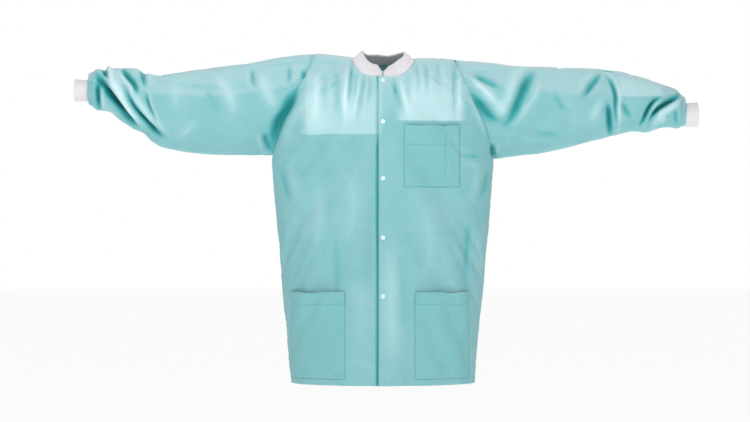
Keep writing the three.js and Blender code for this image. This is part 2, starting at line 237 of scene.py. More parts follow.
def panelGrid(face, sign, innerEdge, drop=0.0):
    # half of the body's front or back as a grid: across from the inner edge, up from the hem
    columns, below, above = coat["columns"], coat["rowsBelow"], coat["rowsAbove"]
    across = np.linspace(0, 1, columns + 1)[:, None]
    armpitUp = (coat["armpit"] - coat["hem"]) / (coat["shoulder"] - coat["hem"])
    up = np.concatenate([np.linspace(0, armpitUp, below + 1), np.linspace(armpitUp, 1, above + 1)[1:]])[None]
    share = coat["neckColumns"]
    neckX = innerEdge + (coat["neckHalf"] - innerEdge) * across / share
    span = coat["shoulderPoint"] - coat["neckHalf"]
    shoulderX = coat["neckHalf"] + span * (across - share) / (1 - share)
    topX = np.where(across < share, neckX, shoulderX)
    lift = np.clip(np.abs(topX) / coat["neckHalf"], 0, 1) ** 4
    seam = shoulderLine(sign * topX)
    topZ = np.where(across < share, coat["neckDrop"][face] * (1 - lift) + seam * lift, seam)
    z = coat["hem"] + (topZ - coat["hem"]) * up
    sideZ = coat["hem"] + (shoulderLine(sign * coat["shoulderPoint"]) - coat["hem"]) * up
    sideTurn = np.where(sideZ < coat["armpit"] - 1e-4, np.pi / 2, turnAt(armholeX(sideZ), sideZ))
    places = topX, innerEdge, coat["shoulderPoint"]
    topTurn, innerTurn, pointTurn = (turnAt(x, np.zeros(1)) for x in places)
    straight = innerTurn + (pointTurn - innerTurn) * across
    turn = (1 - across) * turnAt(innerEdge, z) + across * sideTurn + up * (topTurn - straight)
    x = halfWidth(z) * np.sin(turn)
    return bodyPoint(turn, z, face, sign, drop * (1 - smooth(x, 0.02, 0.05)))


def sleeveSection(side, x, around):
    # around runs 0 at the bottom, 0.5 on top, the front half first
    shape = np.array(side["shape"])
    top = softInterp(x, shape[:, [0, 1]], 0.009)
    bottom = softInterp(x, shape[:, [0, 2]], 0.009)
    depth = softInterp(x, shape[:, [0, 3]])
    angle = 2 * np.pi * around
    middle, half = (top + bottom) / 2, (top - bottom) / 2
    across = side["sign"] * x + 0 * around
    return np.stack([across, -depth * np.sin(angle), middle - half * np.cos(angle)], -1)


def sleeveGrid(side, loop):
    # rings from the armhole loop out to the cuff, then tucked back inside to the cuff's seam
    count = len(loop)
    half = count // 2
    steps = np.linalg.norm(np.diff(np.vstack([loop, loop[:1]]), axis=0), axis=1)
    run = np.concatenate([[0], np.cumsum(steps)])
    around = np.empty(count)
    around[:half + 1] = 0.5 * run[:half + 1] / run[half]
    around[half:] = 0.5 + 0.5 * (run[half:-1] - run[half]) / (run[-1] - run[half])
    rings = [loop]
    headEnd = sleeveRings["headEnd"]
    target = sleeveSection(side, np.full(count, headEnd), around)
    for k in range(1, sleeveRings["head"] + 1):
        t = k / sleeveRings["head"]
        pull = t * t * (3 - 2 * t) * 0.35 + t * 0.65
        ring = loop * (1 - pull) + target * pull
        ring[:, 0] = loop[:, 0] * (1 - t) + target[:, 0] * t
        rings.append(ring)
    for k in range(1, sleeveRings["arm"] + 1):
        x = headEnd + (side["end"] - headEnd) * k / sleeveRings["arm"]
        ring = sleeveSection(side, np.full(count, x), around)
        closing = float(smooth(x, side["end"] - 0.02, side["end"])) * 0.25
        centre = ring.mean(0)
        rings.append(ring + (centre - ring) * closing * np.array([0, 1, 1]))
    last = rings[-1]
    angle = 2 * np.pi * around
    radius = side["cuffRadius"]
    wrist = np.stack([np.full(count, side["sign"] * (side["end"] - 0.012)), -radius * np.sin(angle),
                      side["wrist"] - radius * np.cos(angle)], -1)
    for k in range(1, sleeveRings["tuck"] + 1):
        t = k / sleeveRings["tuck"]
        ring = last * (1 - t) + wrist * t
        ring[:, 0] += side["sign"] * 0.004 * math.sin(math.pi * t)
        rings.append(ring)
    return np.array(rings)


def buildGarment():
    # one joined mesh of all the panels: points, faces, and the piece that each face belongs to
    points, faces, owner, grids = [], [], [], {}

    def addGrid(name, grid, wrap=False, firstRing=None):
        rows, columns = grid.shape[:2]
        index = np.arange(rows * columns).reshape(rows, columns) + sum(len(p) for p in points)
        points.append(grid.reshape(-1, 3))
        if firstRing is not None:
            index[0] = firstRing
        grids[name] = index
        nextColumn = np.roll(index, -1, 1) if wrap else index[:, 1:]
        here = index if wrap else index[:, :-1]
        for i in range(rows - 1):
            for a, b, c, d in zip(here[i], here[i + 1], nextColumn[i + 1], nextColumn[i]):
                faces.append((a, b, c, d))
                owner.append(name)

    addGrid("front_left", panelGrid(-1, 1, coat["topEdge"]))
    addGrid("front_right", panelGrid(-1, -1, -coat["underEdge"], coat["underDrop"]))
    leftBack = panelGrid(1, 1, 0.0)
    rightBack = panelGrid(1, -1, 0.0)
    addGrid("back", np.concatenate([rightBack[::-1], leftBack[1:]]))
    cut = coat["rowsBelow"]
    for name, side in sleeves.items():
        front = grids["front_" + name][-1, cut:]
        back = grids["back"][-1 if side["sign"] > 0 else 0, cut:]
        ring = np.concatenate([front, back[::-1][1:-1]])
        loop = np.vstack(points)[ring]
        addGrid("sleeve_" + name, sleeveGrid(side, loop), True, ring)
    return np.vstack(points), np.array(faces), np.array(owner), grids


points, faces, owner, grids = buildGarment()


def joinSeams(points, faces, grids):
    # points that lie on each other across a seam become one
    key = np.round(points * 1e5).astype(np.int64)
    _, first, inverse = np.unique(key, axis=0, return_index=True, return_inverse=True)
    inverse = inverse.reshape(-1)
    return points[first], inverse[faces], {n: inverse[g] for n, g in grids.items()}


simPoints, simFaces, simGrids = joinSeams(points, faces, grids)
print("garment", len(simPoints), "points", len(simFaces), "faces")

cloth = {
    "frames": 14,
    "quality": 4,
    "mass": 0.10,
    "tension": 10.0,
    "shear": 4.0,
    "bending": 0.30,
    "airDamping": 3.0,
    "damping": 8,
    "armDown": 22.0,            # degrees: the coat is cut with its sleeves lower than they are held
    "bodyEase": 1.03,
    "forearmEase": 1.30,
    "hold": 0.10,
    "holdEdge": 0.8,              # the fronts' edges and the cuffs' seams are held nearly still
    "levelling": 50,            # passes that find the slow drift, which is taken out again
    "gain": 0.60,
    "tallest": 0.012,
    "armCalm": 0.45,
    "forearmCalm": 0.5,
}


def restShape(p):
    # fuller, with lower and longer sleeves, so that the cloth buckles as it is worn
    rest = p.copy()
    out = np.abs(p[:, 0])
    sign = np.sign(p[:, 0])
    body = 1 - smooth(out, 0.16, 0.30)
    rest[:, 1] *= 1 + (cloth["bodyEase"] - 1) * (0.4 + 0.6 * body)
    rest[:, 0] *= 1 + (cloth["bodyEase"] - 1) * body
    reach = np.linspace(0, 0.5, 400)
    stretch = 1.02 + (cloth["forearmEase"] - 1.02) * smooth(reach, 0.24, 0.34)
    length = np.concatenate([[0], np.cumsum((stretch[1:] + stretch[:-1]) / 2 * np.diff(reach))])
    along = np.where(out > 0.25, np.interp(out - 0.25, reach, length) + 0.25, out)
    rest[:, 0] += sign * (along - out)
    angle = np.radians(cloth["armDown"]) * smooth(out, 0.13, 0.30)
    pivotX, pivotZ = sign * 0.18, -0.10
    dx, dz = rest[:, 0] - pivotX, rest[:, 2] - pivotZ
    rest[:, 0] = pivotX + dx * np.cos(angle) + sign * dz * np.sin(angle)
    rest[:, 2] = pivotZ - sign * dx * np.sin(angle) + dz * np.cos(angle)
    return rest


def neckEdges():
    # the points of the neck seam on the left front, the right front and the back
    reach, middle = int(coat["neckColumns"] * coat["columns"]), coat["columns"]
    left, right = [simGrids[name][:reach + 1, -1] for name in ("front_left", "front_right")]
    return left, right, simGrids["back"][middle - reach:middle + reach + 1, -1]


def holdWeights():
    hold = np.full(len(simPoints), cloth["hold"])
    for name in sleeves:
        sleeve = simGrids["sleeve_" + name]
        hold[sleeve[-2]] = cloth["holdEdge"]
        hold[sleeve[-1]] = 1.0
    for name in ("front_left", "front_right"):
        hold[simGrids[name][:2]] = cloth["holdEdge"]
    for edge in neckEdges():
        hold[edge] = 1.0
    return hold


def simulate():
    mesh = bpy.data.meshes.new("garment")
    mesh.from_pydata(simPoints.tolist(), [], simFaces.tolist())
    garment = placed("garment", mesh)
    garment.shape_key_add(name="Basis")
    cut = garment.shape_key_add(name="cut")
    cut.data.foreach_set("co", restShape(simPoints).ravel())
    cut.value = 0
    held = garment.vertex_groups.new(name="held")
    for i, weight in enumerate(holdWeights()):
        held.add([i], float(weight), "REPLACE")
    modifier = garment.modifiers.new("Cloth", "CLOTH")
    s = modifier.settings
    s.quality = cloth["quality"]
    s.mass = cloth["mass"]
    s.tension_stiffness = s.compression_stiffness = cloth["tension"]
    s.shear_stiffness = cloth["shear"]
    s.bending_stiffness = cloth["bending"]
    s.air_damping = cloth["airDamping"]
    s.tension_damping = s.compression_damping = s.shear_damping = cloth["damping"]
    s.bending_damping = 1
    s.vertex_group_mass = "held"
    s.rest_shape_key = cut
    modifier.collision_settings.use_collision = False
    modifier.collision_settings.use_self_collision = False
    modifier.point_cache.frame_end = cloth["frames"]
    scene = bpy.context.scene
    for step in range(1, cloth["frames"] + 1):
        scene.frame_set(step)
    done = garment.evaluated_get(bpy.context.evaluated_depsgraph_get())
    result = np.empty(len(simPoints) * 3)
    done.data.vertices.foreach_get("co", result)
    bpy.data.objects.remove(garment)
    scene.frame_set(1)
    return result.reshape(-1, 3)


def keepWrinkles(moved):
    # the slow drift goes and the wrinkles stay, so that the outline is the one it was cut to
    edges = np.unique(np.sort(np.concatenate([simFaces[:, [i, (i + 1) % 4]] for i in range(4)]), 1), axis=0)
    a, b = edges.T
    count = np.bincount(np.concatenate([a, b]), minlength=len(moved))[:, None]
    slow = moved.copy()
    for _ in range(cloth["levelling"]):
        total = np.stack([np.bincount(a, slow[b, k], len(moved)) + np.bincount(b, slow[a, k], len(moved))
                          for k in range(3)], -1)
        slow = 0.5 * slow + 0.5 * total / count
    wrinkles = (moved - slow) * cloth["gain"]
    length = np.linalg.norm(wrinkles, axis=1)[:, None]
    wrinkles *= cloth["tallest"] / np.maximum(length, cloth["tallest"])
    nearFront = (simPoints[:, 1] < 0) & (np.abs(simPoints[:, 0]) < 0.2)
    calm = np.where(nearFront, smooth(np.abs(simPoints[:, 0]), 0.015, 0.07), 1.0)
    forearm = 1 - cloth["forearmCalm"] * smooth(np.abs(simPoints[:, 0]), 0.44, 0.56)
    arm = 1 - cloth["armCalm"] * smooth(np.abs(simPoints[:, 0]), 0.24, 0.32)
    return wrinkles * (calm * arm * forearm)[:, None]


settled = simulate()
settled = simPoints + keepWrinkles(settled - simPoints)
print("cloth settled, wrinkles up to", round(float(np.abs(settled - simPoints).max()), 4), "m")


def outwardFaces():
    # each panel's faces turned so that they look out of the coat
    out = simFaces.copy()
    corners = simPoints[simFaces]
    normal = np.cross(corners[:, 2] - corners[:, 0], corners[:, 3] - corners[:, 1])
    middle = corners.mean(1)
    core = np.zeros_like(middle)
    core[:, 0] = middle[:, 0]
    core[:, 2] = np.where(np.abs(middle[:, 0]) > 0.26, -0.11, middle[:, 2])
    for name in np.unique(owner):
        mine = owner == name
        if (normal[mine] * (middle - core)[mine]).sum() < 0:
            out[mine] = out[mine][:, ::-1]
    return out


simFaces = outwardFaces()


def pointNormals(p, quads):
    corners = p[quads]
    normal = np.cross(corners[:, 2] - corners[:, 0], corners[:, 3] - corners[:, 1])
    total = np.stack([np.bincount(quads.ravel(), np.repeat(normal[:, k], 4), len(p)) for k in range(3)], -1)
    return total / np.maximum(np.linalg.norm(total, axis=1), 1e-12)[:, None]


settledNormals = pointNormals(settled, simFaces)


def finer(rows, factor, closed=False):
    # a smooth run through the rows, with factor steps for each one
    if closed:
        before, after, last = np.roll(rows, 1, 0), np.roll(rows, -1, 0), np.roll(rows, -2, 0)
        here = rows
    else:
        full = np.concatenate([2 * rows[:1] - rows[1:2], rows, 2 * rows[-1:] - rows[-2:-1]])
        before, here, after, last = full[:-3], full[1:-2], full[2:-1], full[3:]
    steps = []
    for k in range(factor):
        t = k / factor
        square = (2 * before - 5 * here + 4 * after - last) * t ** 2
        cube = (3 * here - before - 3 * after + last) * t ** 3
        steps.append(0.5 * (2 * here + (after - before) * t + square + cube))
    out = np.stack(steps, 1).reshape(-1, *rows.shape[1:])
    return out if closed else np.concatenate([out, rows[-1:]])


def fineSurface(name, across, along, closed=False):
    index = simGrids[name]
    both = np.concatenate([settled[index], settledNormals[index]], -1)
    both = finer(both, across)
    both = finer(both.transpose(1, 0, 2), along, closed).transpose(1, 0, 2)
    return both[..., :3].copy(), unit(both[..., 3:])


# in millimetres: path of (x, z), half width, depth (minus is a ridge), and for some the ridge beside it
# (its share of the depth, on the side that its sign says) and how far that ridge leans over
frontCreases = {
    "right sleeve end": [
        ([(-664, -18), (-634, -60), (-606, -98), (-575, -141), (-550, -166)], 9, 19, 0.55, 3),
        ([(-636, -30), (-602, -71), (-580, -108), (-556, -138), (-526, -176)], 7.5, -8),
        ([(-598, -50), (-575, -98), (-548, -133), (-520, -162), (-488, -190)], 7.5, 15.5, 0.45, 2),
        ([(-652, 20), (-644, -10), (-632, -34), (-618, -56)], 5, 13, 0.6),
        ([(-606, -8), (-584, -36), (-566, -60), (-560, -96)], 6, 9.5, -0.6),
        ([(-552, 6), (-548, -34), (-540, -70)], 6, 6, 0.6),
        ([(-544, -66), (-532, -110), (-510, -156)], 3.5, 6.5, 0.5),
        ([(-654, -46), (-652, -80), (-652, -126)], 6, 11.5, 0.5),
        ([(-640, -100), (-628, -108), (-600, -132)], 6, -3),
    ],
    "right upper sleeve": [
        ([(-191, -60), (-216, -105), (-240, -148), (-252, -190), (-252, -216)], 12, 10, 0.25),
        ([(-274, -160), (-265, -195), (-250, -216)], 6, 5.5, -0.4),
        ([(-181, -22), (-181, -48)], 5, 4, 0.3),
        ([(-300, -14), (-296, -50), (-286, -75)], 6, 3.5, -0.4),
        ([(-215, -6), (-214, -40), (-222, -62)], 6, 3, 0.4),
        ([(-392, -30), (-362, -66), (-344, -100), (-338, -140)], 14, -4.5),
        ([(-410, -60), (-385, -100), (-362, -145)], 11, 2.2),
        ([(-276, -20), (-272, -60), (-252, -96), (-236, -130)], 13, -4.5),
        ([(-470, -40), (-476, -70), (-470, -120)], 10, -2.2),
        ([(-420, -130), (-450, -165), (-480, -180)], 9, -2.5),
    ],
    "left upper sleeve": [
        ([(200, -28), (236, -50), (280, -72)], 10, 4.5, -0.6),
        ([(188, -34), (232, -70), (262, -100), (282, -122)], 7, -5),
        ([(196, -66), (224, -104), (252, -134), (290, -150)], 11, 7.5, 0.4),
        ([(360, -20), (330, -45), (312, -85), (293, -130), (266, -176)], 12, 8.5, -0.6),
        ([(372, -40), (335, -100), (305, -140), (275, -180)], 8, -4),
        ([(385, -68), (402, -100), (425, -130)], 8, 3, 0.5),
        ([(330, -160), (375, -170), (430, -165)], 12, 2.5),
        ([(250, -190), (254, -214), (268, -224)], 5, 6, 0.4),
    ],
    "left sleeve end": [
        ([(503, -20), (486, -45), (466, -72), (452, -100)], 7, 5.5, -0.4),
        ([(502, -26), (520, -46), (531, -78), (531, -112), (533, -156), (530, -176)], 4.2, 8.5, 0.6, 1),
        ([(512, -90), (517, -130), (524, -190)], 6.5, 10.5, 0.2),
        ([(470, -150), (490, -110), (505, -80)], 11, -3.5),
        ([(640, -82), (618, -96), (604, -118), (594, -140), (580, -158)], 5, 12.5, 0.5, 1.5),
        ([(691, -73), (667, -88), (649, -100), (627, -114), (609, -138), (600, -163)], 6.5, 15, 0.5, 2),
        ([(545, -92), (556, -118), (574, -140)], 7, 4.5, -0.4),
        ([(650, -125), (640, -135), (628, -140)], 6, -3.5),
        ([(672, -108), (670, -130), (674, -156)], 6.5, 4.5, 0.3),
        ([(500, -19), (515, -22), (536, -26)], 4, 4.5, -0.5),
    ],
    "below the collar": [
        ([(-75, 4), (-71, -30), (-73, -70), (-80, -130)], 5, 5, -0.8),
        ([(-43, -22), (-44, -55), (-50, -95), (-58, -150)], 5.5, 4.2, -0.9),
        ([(-58, -10), (-62, -60), (-66, -120)], 4, 2.2, -0.8),
        ([(-26, -30), (-28, -70), (-34, -120)], 5, 2.2, -0.8),
        ([(-112, -5), (-106, -60), (-102, -110), (-90, -165)], 10, 3, 0.8),
        ([(-155, -10), (-150, -60), (-155, -120), (-160, -165)], 11, -4),
        ([(-128, -20), (-134, -70), (-130, -140)], 8, 2.2, 0.6),
        ([(-88, -60), (-86, -120), (-88, -165)], 8, -3.5),
        ([(22, -36), (32, -80), (44, -120), (52, -150)], 7, 4.2, 0.7),
        ([(58, -26), (60, -70), (66, -120)], 6, 1.8, 0.9),
        ([(74, 0), (80, -40), (78, -90)], 5, 2.6, 0.7),
        ([(96, 0), (102, -40), (100, -90)], 5, 2.4, 0.7),
        ([(122, 0), (128, -40), (130, -80)], 6, 2.2, 0.7),
        ([(164, -4), (164, -60), (163, -150)], 5.5, 4.5, 0.5),
        ([(186, -50), (204, -100), (226, -150), (240, -200)], 7, -3.5),
    ],
    "body": [
        ([(-240, -230), (-225, -280), (-205, -350)], 10, 3, 0.5),
        ([(244, -236), (232, -290), (214, -340)], 10, 3, -0.5),
        ([(-150, -260), (-146, -360), (-152, -470)], 14, -1.5),
        ([(-70, -220), (-66, -330), (-70, -450)], 15, -1.5),
        ([(-110, -360), (-104, -480), (-110, -600)], 14, 2.5),
        ([(100, -330), (106, -430), (98, -520)], 13, -1.5),
        ([(50, -380), (52, -500), (46, -640)], 15, 1.8),
        ([(14, -400), (20, -560), (16, -730)], 24, -3),
        ([(165, -480), (160, -600), (166, -735)], 26, -2.2),
        ([(-40, -470), (-46, -600), (-40, -735)], 22, -1.4),
        ([(200, -330), (190, -450), (186, -560)], 14, 3, 0.4),
        ([(170, -216), (205, -222), (240, -215)], 8, 3, -0.4),
        ([(-200, -540), (-196, -640), (-190, -736)], 12, 3, 0.4),
    ],
}
backCreases = {
    "back": [
        ([(-195, -70), (-225, -120), (-248, -180), (-252, -214)], 12.6, 6.5, 0.3),
        ([(195, -70), (225, -120), (248, -180), (252, -220)], 12.6, 6.5, -0.3),
        ([(-170, -60), (-130, -110), (-60, -135)], 14.9, 2.4, 0.4),
        ([(180, -50), (130, -100), (50, -120)], 14.9, 2.4, -0.4),
        ([(-235, -240), (-200, -320), (-150, -380)], 13.8, 3, 0.4),
        ([(235, -240), (205, -310), (140, -370)], 13.8, 3, -0.4),
        ([(-60, -260), (-66, -430), (-60, -640)], 17.2, -2.4),
        ([(40, -300), (34, -460), (40, -660)], 17.2, -2.4),
        ([(120, -420), (116, -560), (120, -730)], 17.2, 2.4, 0.4),
        ([(-130, -460), (-124, -580), (-130, -730)], 17.2, 2.4, 0.4),
        ([(-360, -30), (-330, -80), (-300, -150)], 11.5, 6, 0.4),
        ([(360, -30), (330, -80), (295, -150)], 11.5, 6, -0.4),
        ([(-480, -40), (-500, -100), (-530, -160)], 9.2, 6, 0.4),
        ([(500, -40), (510, -100), (520, -160)], 9.2, 6, 0.4),
        ([(-660, -30), (-620, -70), (-580, -130)], 9.2, 11, 0.4, 2),
        ([(-610, -25), (-580, -70), (-540, -140)], 8, 8, 0.4, 1),
        ([(660, -80), (625, -110), (595, -150)], 8, 10, 0.4, 2),
        ([(630, -60), (600, -100), (580, -145)], 6.9, 7, 0.4),
    ],
}
# sharp crests left by folding in the packet, in millimetres: path of (x, z), reach to either side, height,
# and how much painted highlight the side on the path's left gets (a minus puts it on the right)
foldLines = [
    ([(-196, -174), (-100, -173), (10, -173)], 50, 6, 0.46),
    ([(22, -142), (110, -143), (196, -143)], 45, 5, 0.60),
    ([(-174, -172), (-175, -100), (-174, -30)], 22, 2.2, -0.12),
    ([(530, -85), (590, -86), (650, -85)], 24, 6, 0.40),
    ([(-205, -395), (-100, -397), (-16, -396)], 35, 2, 0.02),
    ([(10, -392), (100, -394), (215, -392)], 35, 2, 0.02),
    ([(-118, -180), (-117, -420), (-119, -700)], 22, 1.4, 0.02),
    ([(116, -310), (118, -420), (117, -515)], 22, 1.4, 0.02),
    ([(-440, -20), (-440, -110), (-440, -200)], 20, 1.8, -0.05),
    ([(420, -20), (421, -110), (420, -190)], 20, 1.8, 0.05),
]


def alongPath(path, x, z):
    # distance to a smooth path, which side of it (left is plus), how far along, and its direction
    nodes = finer(np.array(path, float), 6)
    a, b = nodes[:-1], nodes[1:]
    span = b - a
    length = np.linalg.norm(span, axis=1)
    start = np.concatenate([[0], np.cumsum(length)])[:-1]
    px, pz = x[:, None] - a[:, 0], z[:, None] - a[:, 1]
    t = np.clip((px * span[:, 0] + pz * span[:, 1]) / length ** 2, 0, 1)
    dx, dz = px - t * span[:, 0], pz - t * span[:, 1]
    away = np.hypot(dx, dz)
    best = away.argmin(1)
    rows = np.arange(len(x))
    side = np.sign(span[best, 0] * pz[rows, best] - span[best, 1] * px[rows, best])
    share = (start[best] + t[rows, best] * length[best]) / length.sum()
    return away[rows, best], side, share, span[best] / length[best, None]


creasesOf = {face: [crease for group in groups.values() for crease in group]
             for face, groups in ((-1, frontCreases), (1, backCreases))}
creaseShadeDepth = 0.0095             # a crease this deep takes the full painted crease shade


def creaseMove(p, normal, face, creases, folds):
    # how the creases of one face of the coat move its points, and the painted shade and painted highlight
    # they leave in the colour
    flat, n = p.reshape(-1, 3), normal.reshape(-1, 3)
    move = np.zeros_like(flat)
    paintedShading = np.zeros(len(flat))
    facing = smooth(face * n[:, 1], -0.25, 0.25)
    live = facing > 0
    for path, *sizes in creases:
        width, depth, ridge, lean = np.array(sizes + [0] * (4 - len(sizes))) / (1000, 1000, 1, 1000)
        path = np.array(path) / 1000
        lows, highs = np.min(path, 0) - 4 * width, np.max(path, 0) + 4 * width
        near = live & (flat[:, 0] > lows[0]) & (flat[:, 0] < highs[0])
        near &= (flat[:, 2] > lows[1]) & (flat[:, 2] < highs[1])
        if not near.any():
            continue
        away, side, share, course = alongPath(path, flat[near, 0], flat[near, 2])
        fade = smooth(share, -0.02, 0.34) * (1 - smooth(share, 0.55, 1.02)) * facing[near]
        s = away * side / width
        push = -depth * np.exp(-np.abs(s) ** 1.5)
        if ridge:
            push += abs(ridge) * abs(depth) * np.exp(-((s - 1.9 * np.sign(ridge)) / 1.2) ** 2)
        move[near] += n[near] * (push * fade)[:, None]
        # painted shade in the crease's valley; the ridge beside it goes below zero and gets painted
        # highlight
        paintedShading[near] -= push * fade / creaseShadeDepth
        if lean:
            over = lean * np.exp(-((s - 1.5 * np.sign(ridge)) / 0.9) ** 2) * fade * -np.sign(ridge)
            move[near, 0] -= over * course[:, 1]
            move[near, 2] += over * course[:, 0]
    for path, reach, height, litSideHighlight in folds:
        path, reach, height = np.array(path) / 1000, reach / 1000, height / 1000
        lows, highs = np.min(path, 0) - 3 * reach, np.max(path, 0) + 3 * reach
        near = live & (flat[:, 0] > lows[0]) & (flat[:, 0] < highs[0])
        near &= (flat[:, 2] > lows[1]) & (flat[:, 2] < highs[1])
        if near.any():
            away, side, share, course = alongPath(path, flat[near, 0], flat[near, 2])
            fade = smooth(share, 0, 0.16) * (1 - smooth(share, 0.84, 1)) * facing[near]
            tent = height * (np.exp(-away / reach) - 0.25 * np.exp(-(away / reach / 1.6) ** 2))
            move[near] += n[near] * (tent * fade)[:, None]
            # painted highlight on the lit side of the crest
            lit = smooth(np.sign(litSideHighlight) * side * away, 0, 0.003) * (1 - smooth(away, reach, 3 * reach))
            paintedShading[near] -= abs(litSideHighlight) * lit * fade
    return move.reshape(p.shape), paintedShading.reshape(p.shape[:2])


crumple = {"seed": 11, "waves": 14, "sizes": [(0.040, 0.00040), (0.105, 0.00130)]}


def crumpled(p, body=1.0):
    # faint sharp-edged unevenness of a sheet that was folded small, in each of the sizes (pitch, height)
    total = np.zeros(p.shape[:-1])
    for k, (pitch, height) in enumerate(crumple["sizes"]):
        draw = np.random.default_rng(crumple["seed"] + k)
        ways = unit(draw.normal(size=(crumple["waves"], 3)))
        phase = (p @ ways.T) / (pitch * draw.uniform(0.6, 2.2, crumple["waves"])) * np.pi
        phase += draw.uniform(0, 2 * np.pi, crumple["waves"])
        phase = phase + 1.3 * np.sin(phase[..., ::-1] * 0.37)
        share = body if k else 1.0
        total += share * height * (np.abs(np.sin(phase)) - 0.64).sum(-1) / math.sqrt(crumple["waves"]) * 1.7
    return total


# tone and toneReach set the painted shade beside each seam's groove
seam = {"width": 0.0036, "depth": 0.0007, "pucker": 0.00045, "puckerPitch": 0.013,
        "tone": 0.22, "toneReach": 0.009}


def seamMove(away, run):
    pull = np.exp(-(away / seam["width"]) ** 2)
    wave = np.sin(2 * np.pi * run / seam["puckerPitch"] + 1.7 * np.sin(run * 61))
    return -seam["depth"] * pull + seam["pucker"] * wave * np.exp(-away / 0.011)


def runLength(grid, axis):
    steps = np.linalg.norm(np.diff(grid, axis=axis), axis=-1)
    first = np.zeros_like(np.take(steps, [0], axis))
    return np.concatenate([first, np.cumsum(steps, axis)], axis)


hem = {"height": 0.013, "rise": 0.0006}


# painted shadow on the under layer beside the edge of the top one, deepest below the fold across the chest
underEdgeShadow = {"reach": 0.0085, "tone": 0.75, "toneAbove": 0.35, "from": -0.190}


def finishPanel(name, face, across, along):
    p, n = fineSurface(name, across, along)
    over, up = runLength(p, 0), runLength(p, 1)
    toSide = over[-1:] - over
    lift = seamMove(toSide, up)
    top = up[:, -1:] - up
    if face > 0:
        lift = lift + seamMove(over, up)
    pastNeck = (np.abs(p[:, -1:, 0]) > coat["neckHalf"]).astype(float)
    lift = lift + seamMove(top, over) * pastNeck
    lift = lift + hem["rise"] * (1 - smooth(up, hem["height"] - 0.001, hem["height"] + 0.001))
    calm = smooth(np.minimum(toSide, top), 0, 0.010)
    lift = lift + crumpled(p, 0.55) * calm
    move, paintedShading = creaseMove(p, n, face, creasesOf[face], foldLines if face < 0 else foldLines[4:6])
    # painted shade beside the side and armhole seam
    paintedShading = paintedShading + seam["tone"] * np.exp(-toSide / seam["toneReach"])
    # painted shadow that the top layer's edge casts onto the under layer
    if name == "front_right":
        reach = underEdgeShadow["reach"]
        band = smooth(p[..., 0], coat["topEdge"] - reach, coat["topEdge"] - 0.4 * reach)
        low = 1 - smooth(p[..., 2], underEdgeShadow["from"] - 0.01, underEdgeShadow["from"] + 0.01)
        paintedShading = paintedShading + band * (underEdgeShadow["toneAbove"] + (underEdgeShadow["tone"] - underEdgeShadow["toneAbove"]) * low)
    return p + move + n * lift[..., None], n, paintedShading


def finishSleeve(name):
    p, n = fineSurface("sleeve_" + name, 3, 3, True)
    out = runLength(p, 0)
    lift = seamMove(out, runLength(p, 1)) + crumpled(p) * smooth(out, 0, 0.010)
    lift *= 1 - smooth(out, out[-1].mean() - 0.035, out[-1].mean() - 0.018)
    # painted shade beside the armhole seam
    total = seam["tone"] * np.exp(-out / seam["toneReach"])
    ring = np.arange(len(p))[:, None] / 3 - sleeveRings["head"] - sleeveRings["arm"]
    loose = 1 - smooth(ring, -2.5, -0.3) + 0 * out
    for face in (-1, 1):
        move, paintedShading = creaseMove(p, n, face, creasesOf[face], foldLines if face < 0 else [])
        p = p + move * loose[..., None]
        total = total + paintedShading * loose
    return p + n * lift[..., None], n, total


surfaces = {
    "front_left": finishPanel("front_left", -1, 3, 3),
    "front_right": finishPanel("front_right", -1, 3, 3),
    "back": finishPanel("back", 1, 2, 3),
    "sleeve_left": finishSleeve("left"),
    "sleeve_right": finishSleeve("right"),
}
print("fine surfaces made")


class Nodes:
    # a small helper for wiring one material
    def __init__(self, name):
        self.material = bpy.data.materials.new(name)
        self.material.use_nodes = True
        self.tree = self.material.node_tree
        self.place = self.add("TexCoord").outputs

    def fill(self, node, inputs):
        for key, value in inputs.items():
            if isinstance(value, bpy.types.NodeSocket):
                self.tree.links.new(value, node.inputs[key])
            else:
                node.inputs[key].default_value = value

    def add(self, kind, inputs=None, **settings):
        node = self.tree.nodes.new("ShaderNode" + kind)
        for key, value in settings.items():
            setattr(node, key, value)
        self.fill(node, inputs or {})
        return node

    def noise(self, vector, scale, detail, roughness=0.5, distortion=0.0):
        return self.add("TexNoise", {"Vector": vector, "Scale": scale, "Detail": detail,
                                     "Roughness": roughness, "Distortion": distortion}).outputs["Fac"]

    def both(self, first, second):
        return self.add("Math", {0: first, 1: second}, operation="ADD").outputs[0]

    def spread(self, value, low, high, toLow=0.0, toHigh=1.0, **settings):
        ends = {"From Min": low, "From Max": high, "To Min": toLow, "To Max": toHigh}
        return self.add("MapRange", {"Value": value, **ends}, **settings).outputs[0]

    def mix(self, share, first, second):
        return self.add("MixRGB", {"Fac": share, "Color1": first, "Color2": second}).outputs[0]

    def bump(self, height, strength, distance):
        return self.add("Bump", {"Height": height, "Strength": strength, "Distance": distance}).outputs[0]

    def finish(self, inputs):
        self.fill(self.tree.nodes["Principled BSDF"], inputs)
        return self.material


nonwoven = {
    "light": (0.250, 0.530, 0.552, 1),
    "deep": (0.190, 0.470, 0.492, 1),
    "pale": (0.440, 0.665, 0.700, 1),         # painted light: surfaces that face up toward the key lamp are mixed toward this colour
    # painted highlight on crease ridges and on the lit side of the packet folds
    "ridge": (0.640, 0.850, 0.880, 1),
    # painted shade for creases, seams and the under layer's edge, from shallow to deepest
    "creaseShadeColours": ((0.110, 0.430, 0.450, 1), (0.030, 0.320, 0.335, 1), (0.006, 0.205, 0.215, 1)),
    "cloud": 16.0,
    "fibre": 700.0,
    "fibreStretch": 0.22,
    "bondPitch": 0.0012,
    "roughness": 0.62,
}


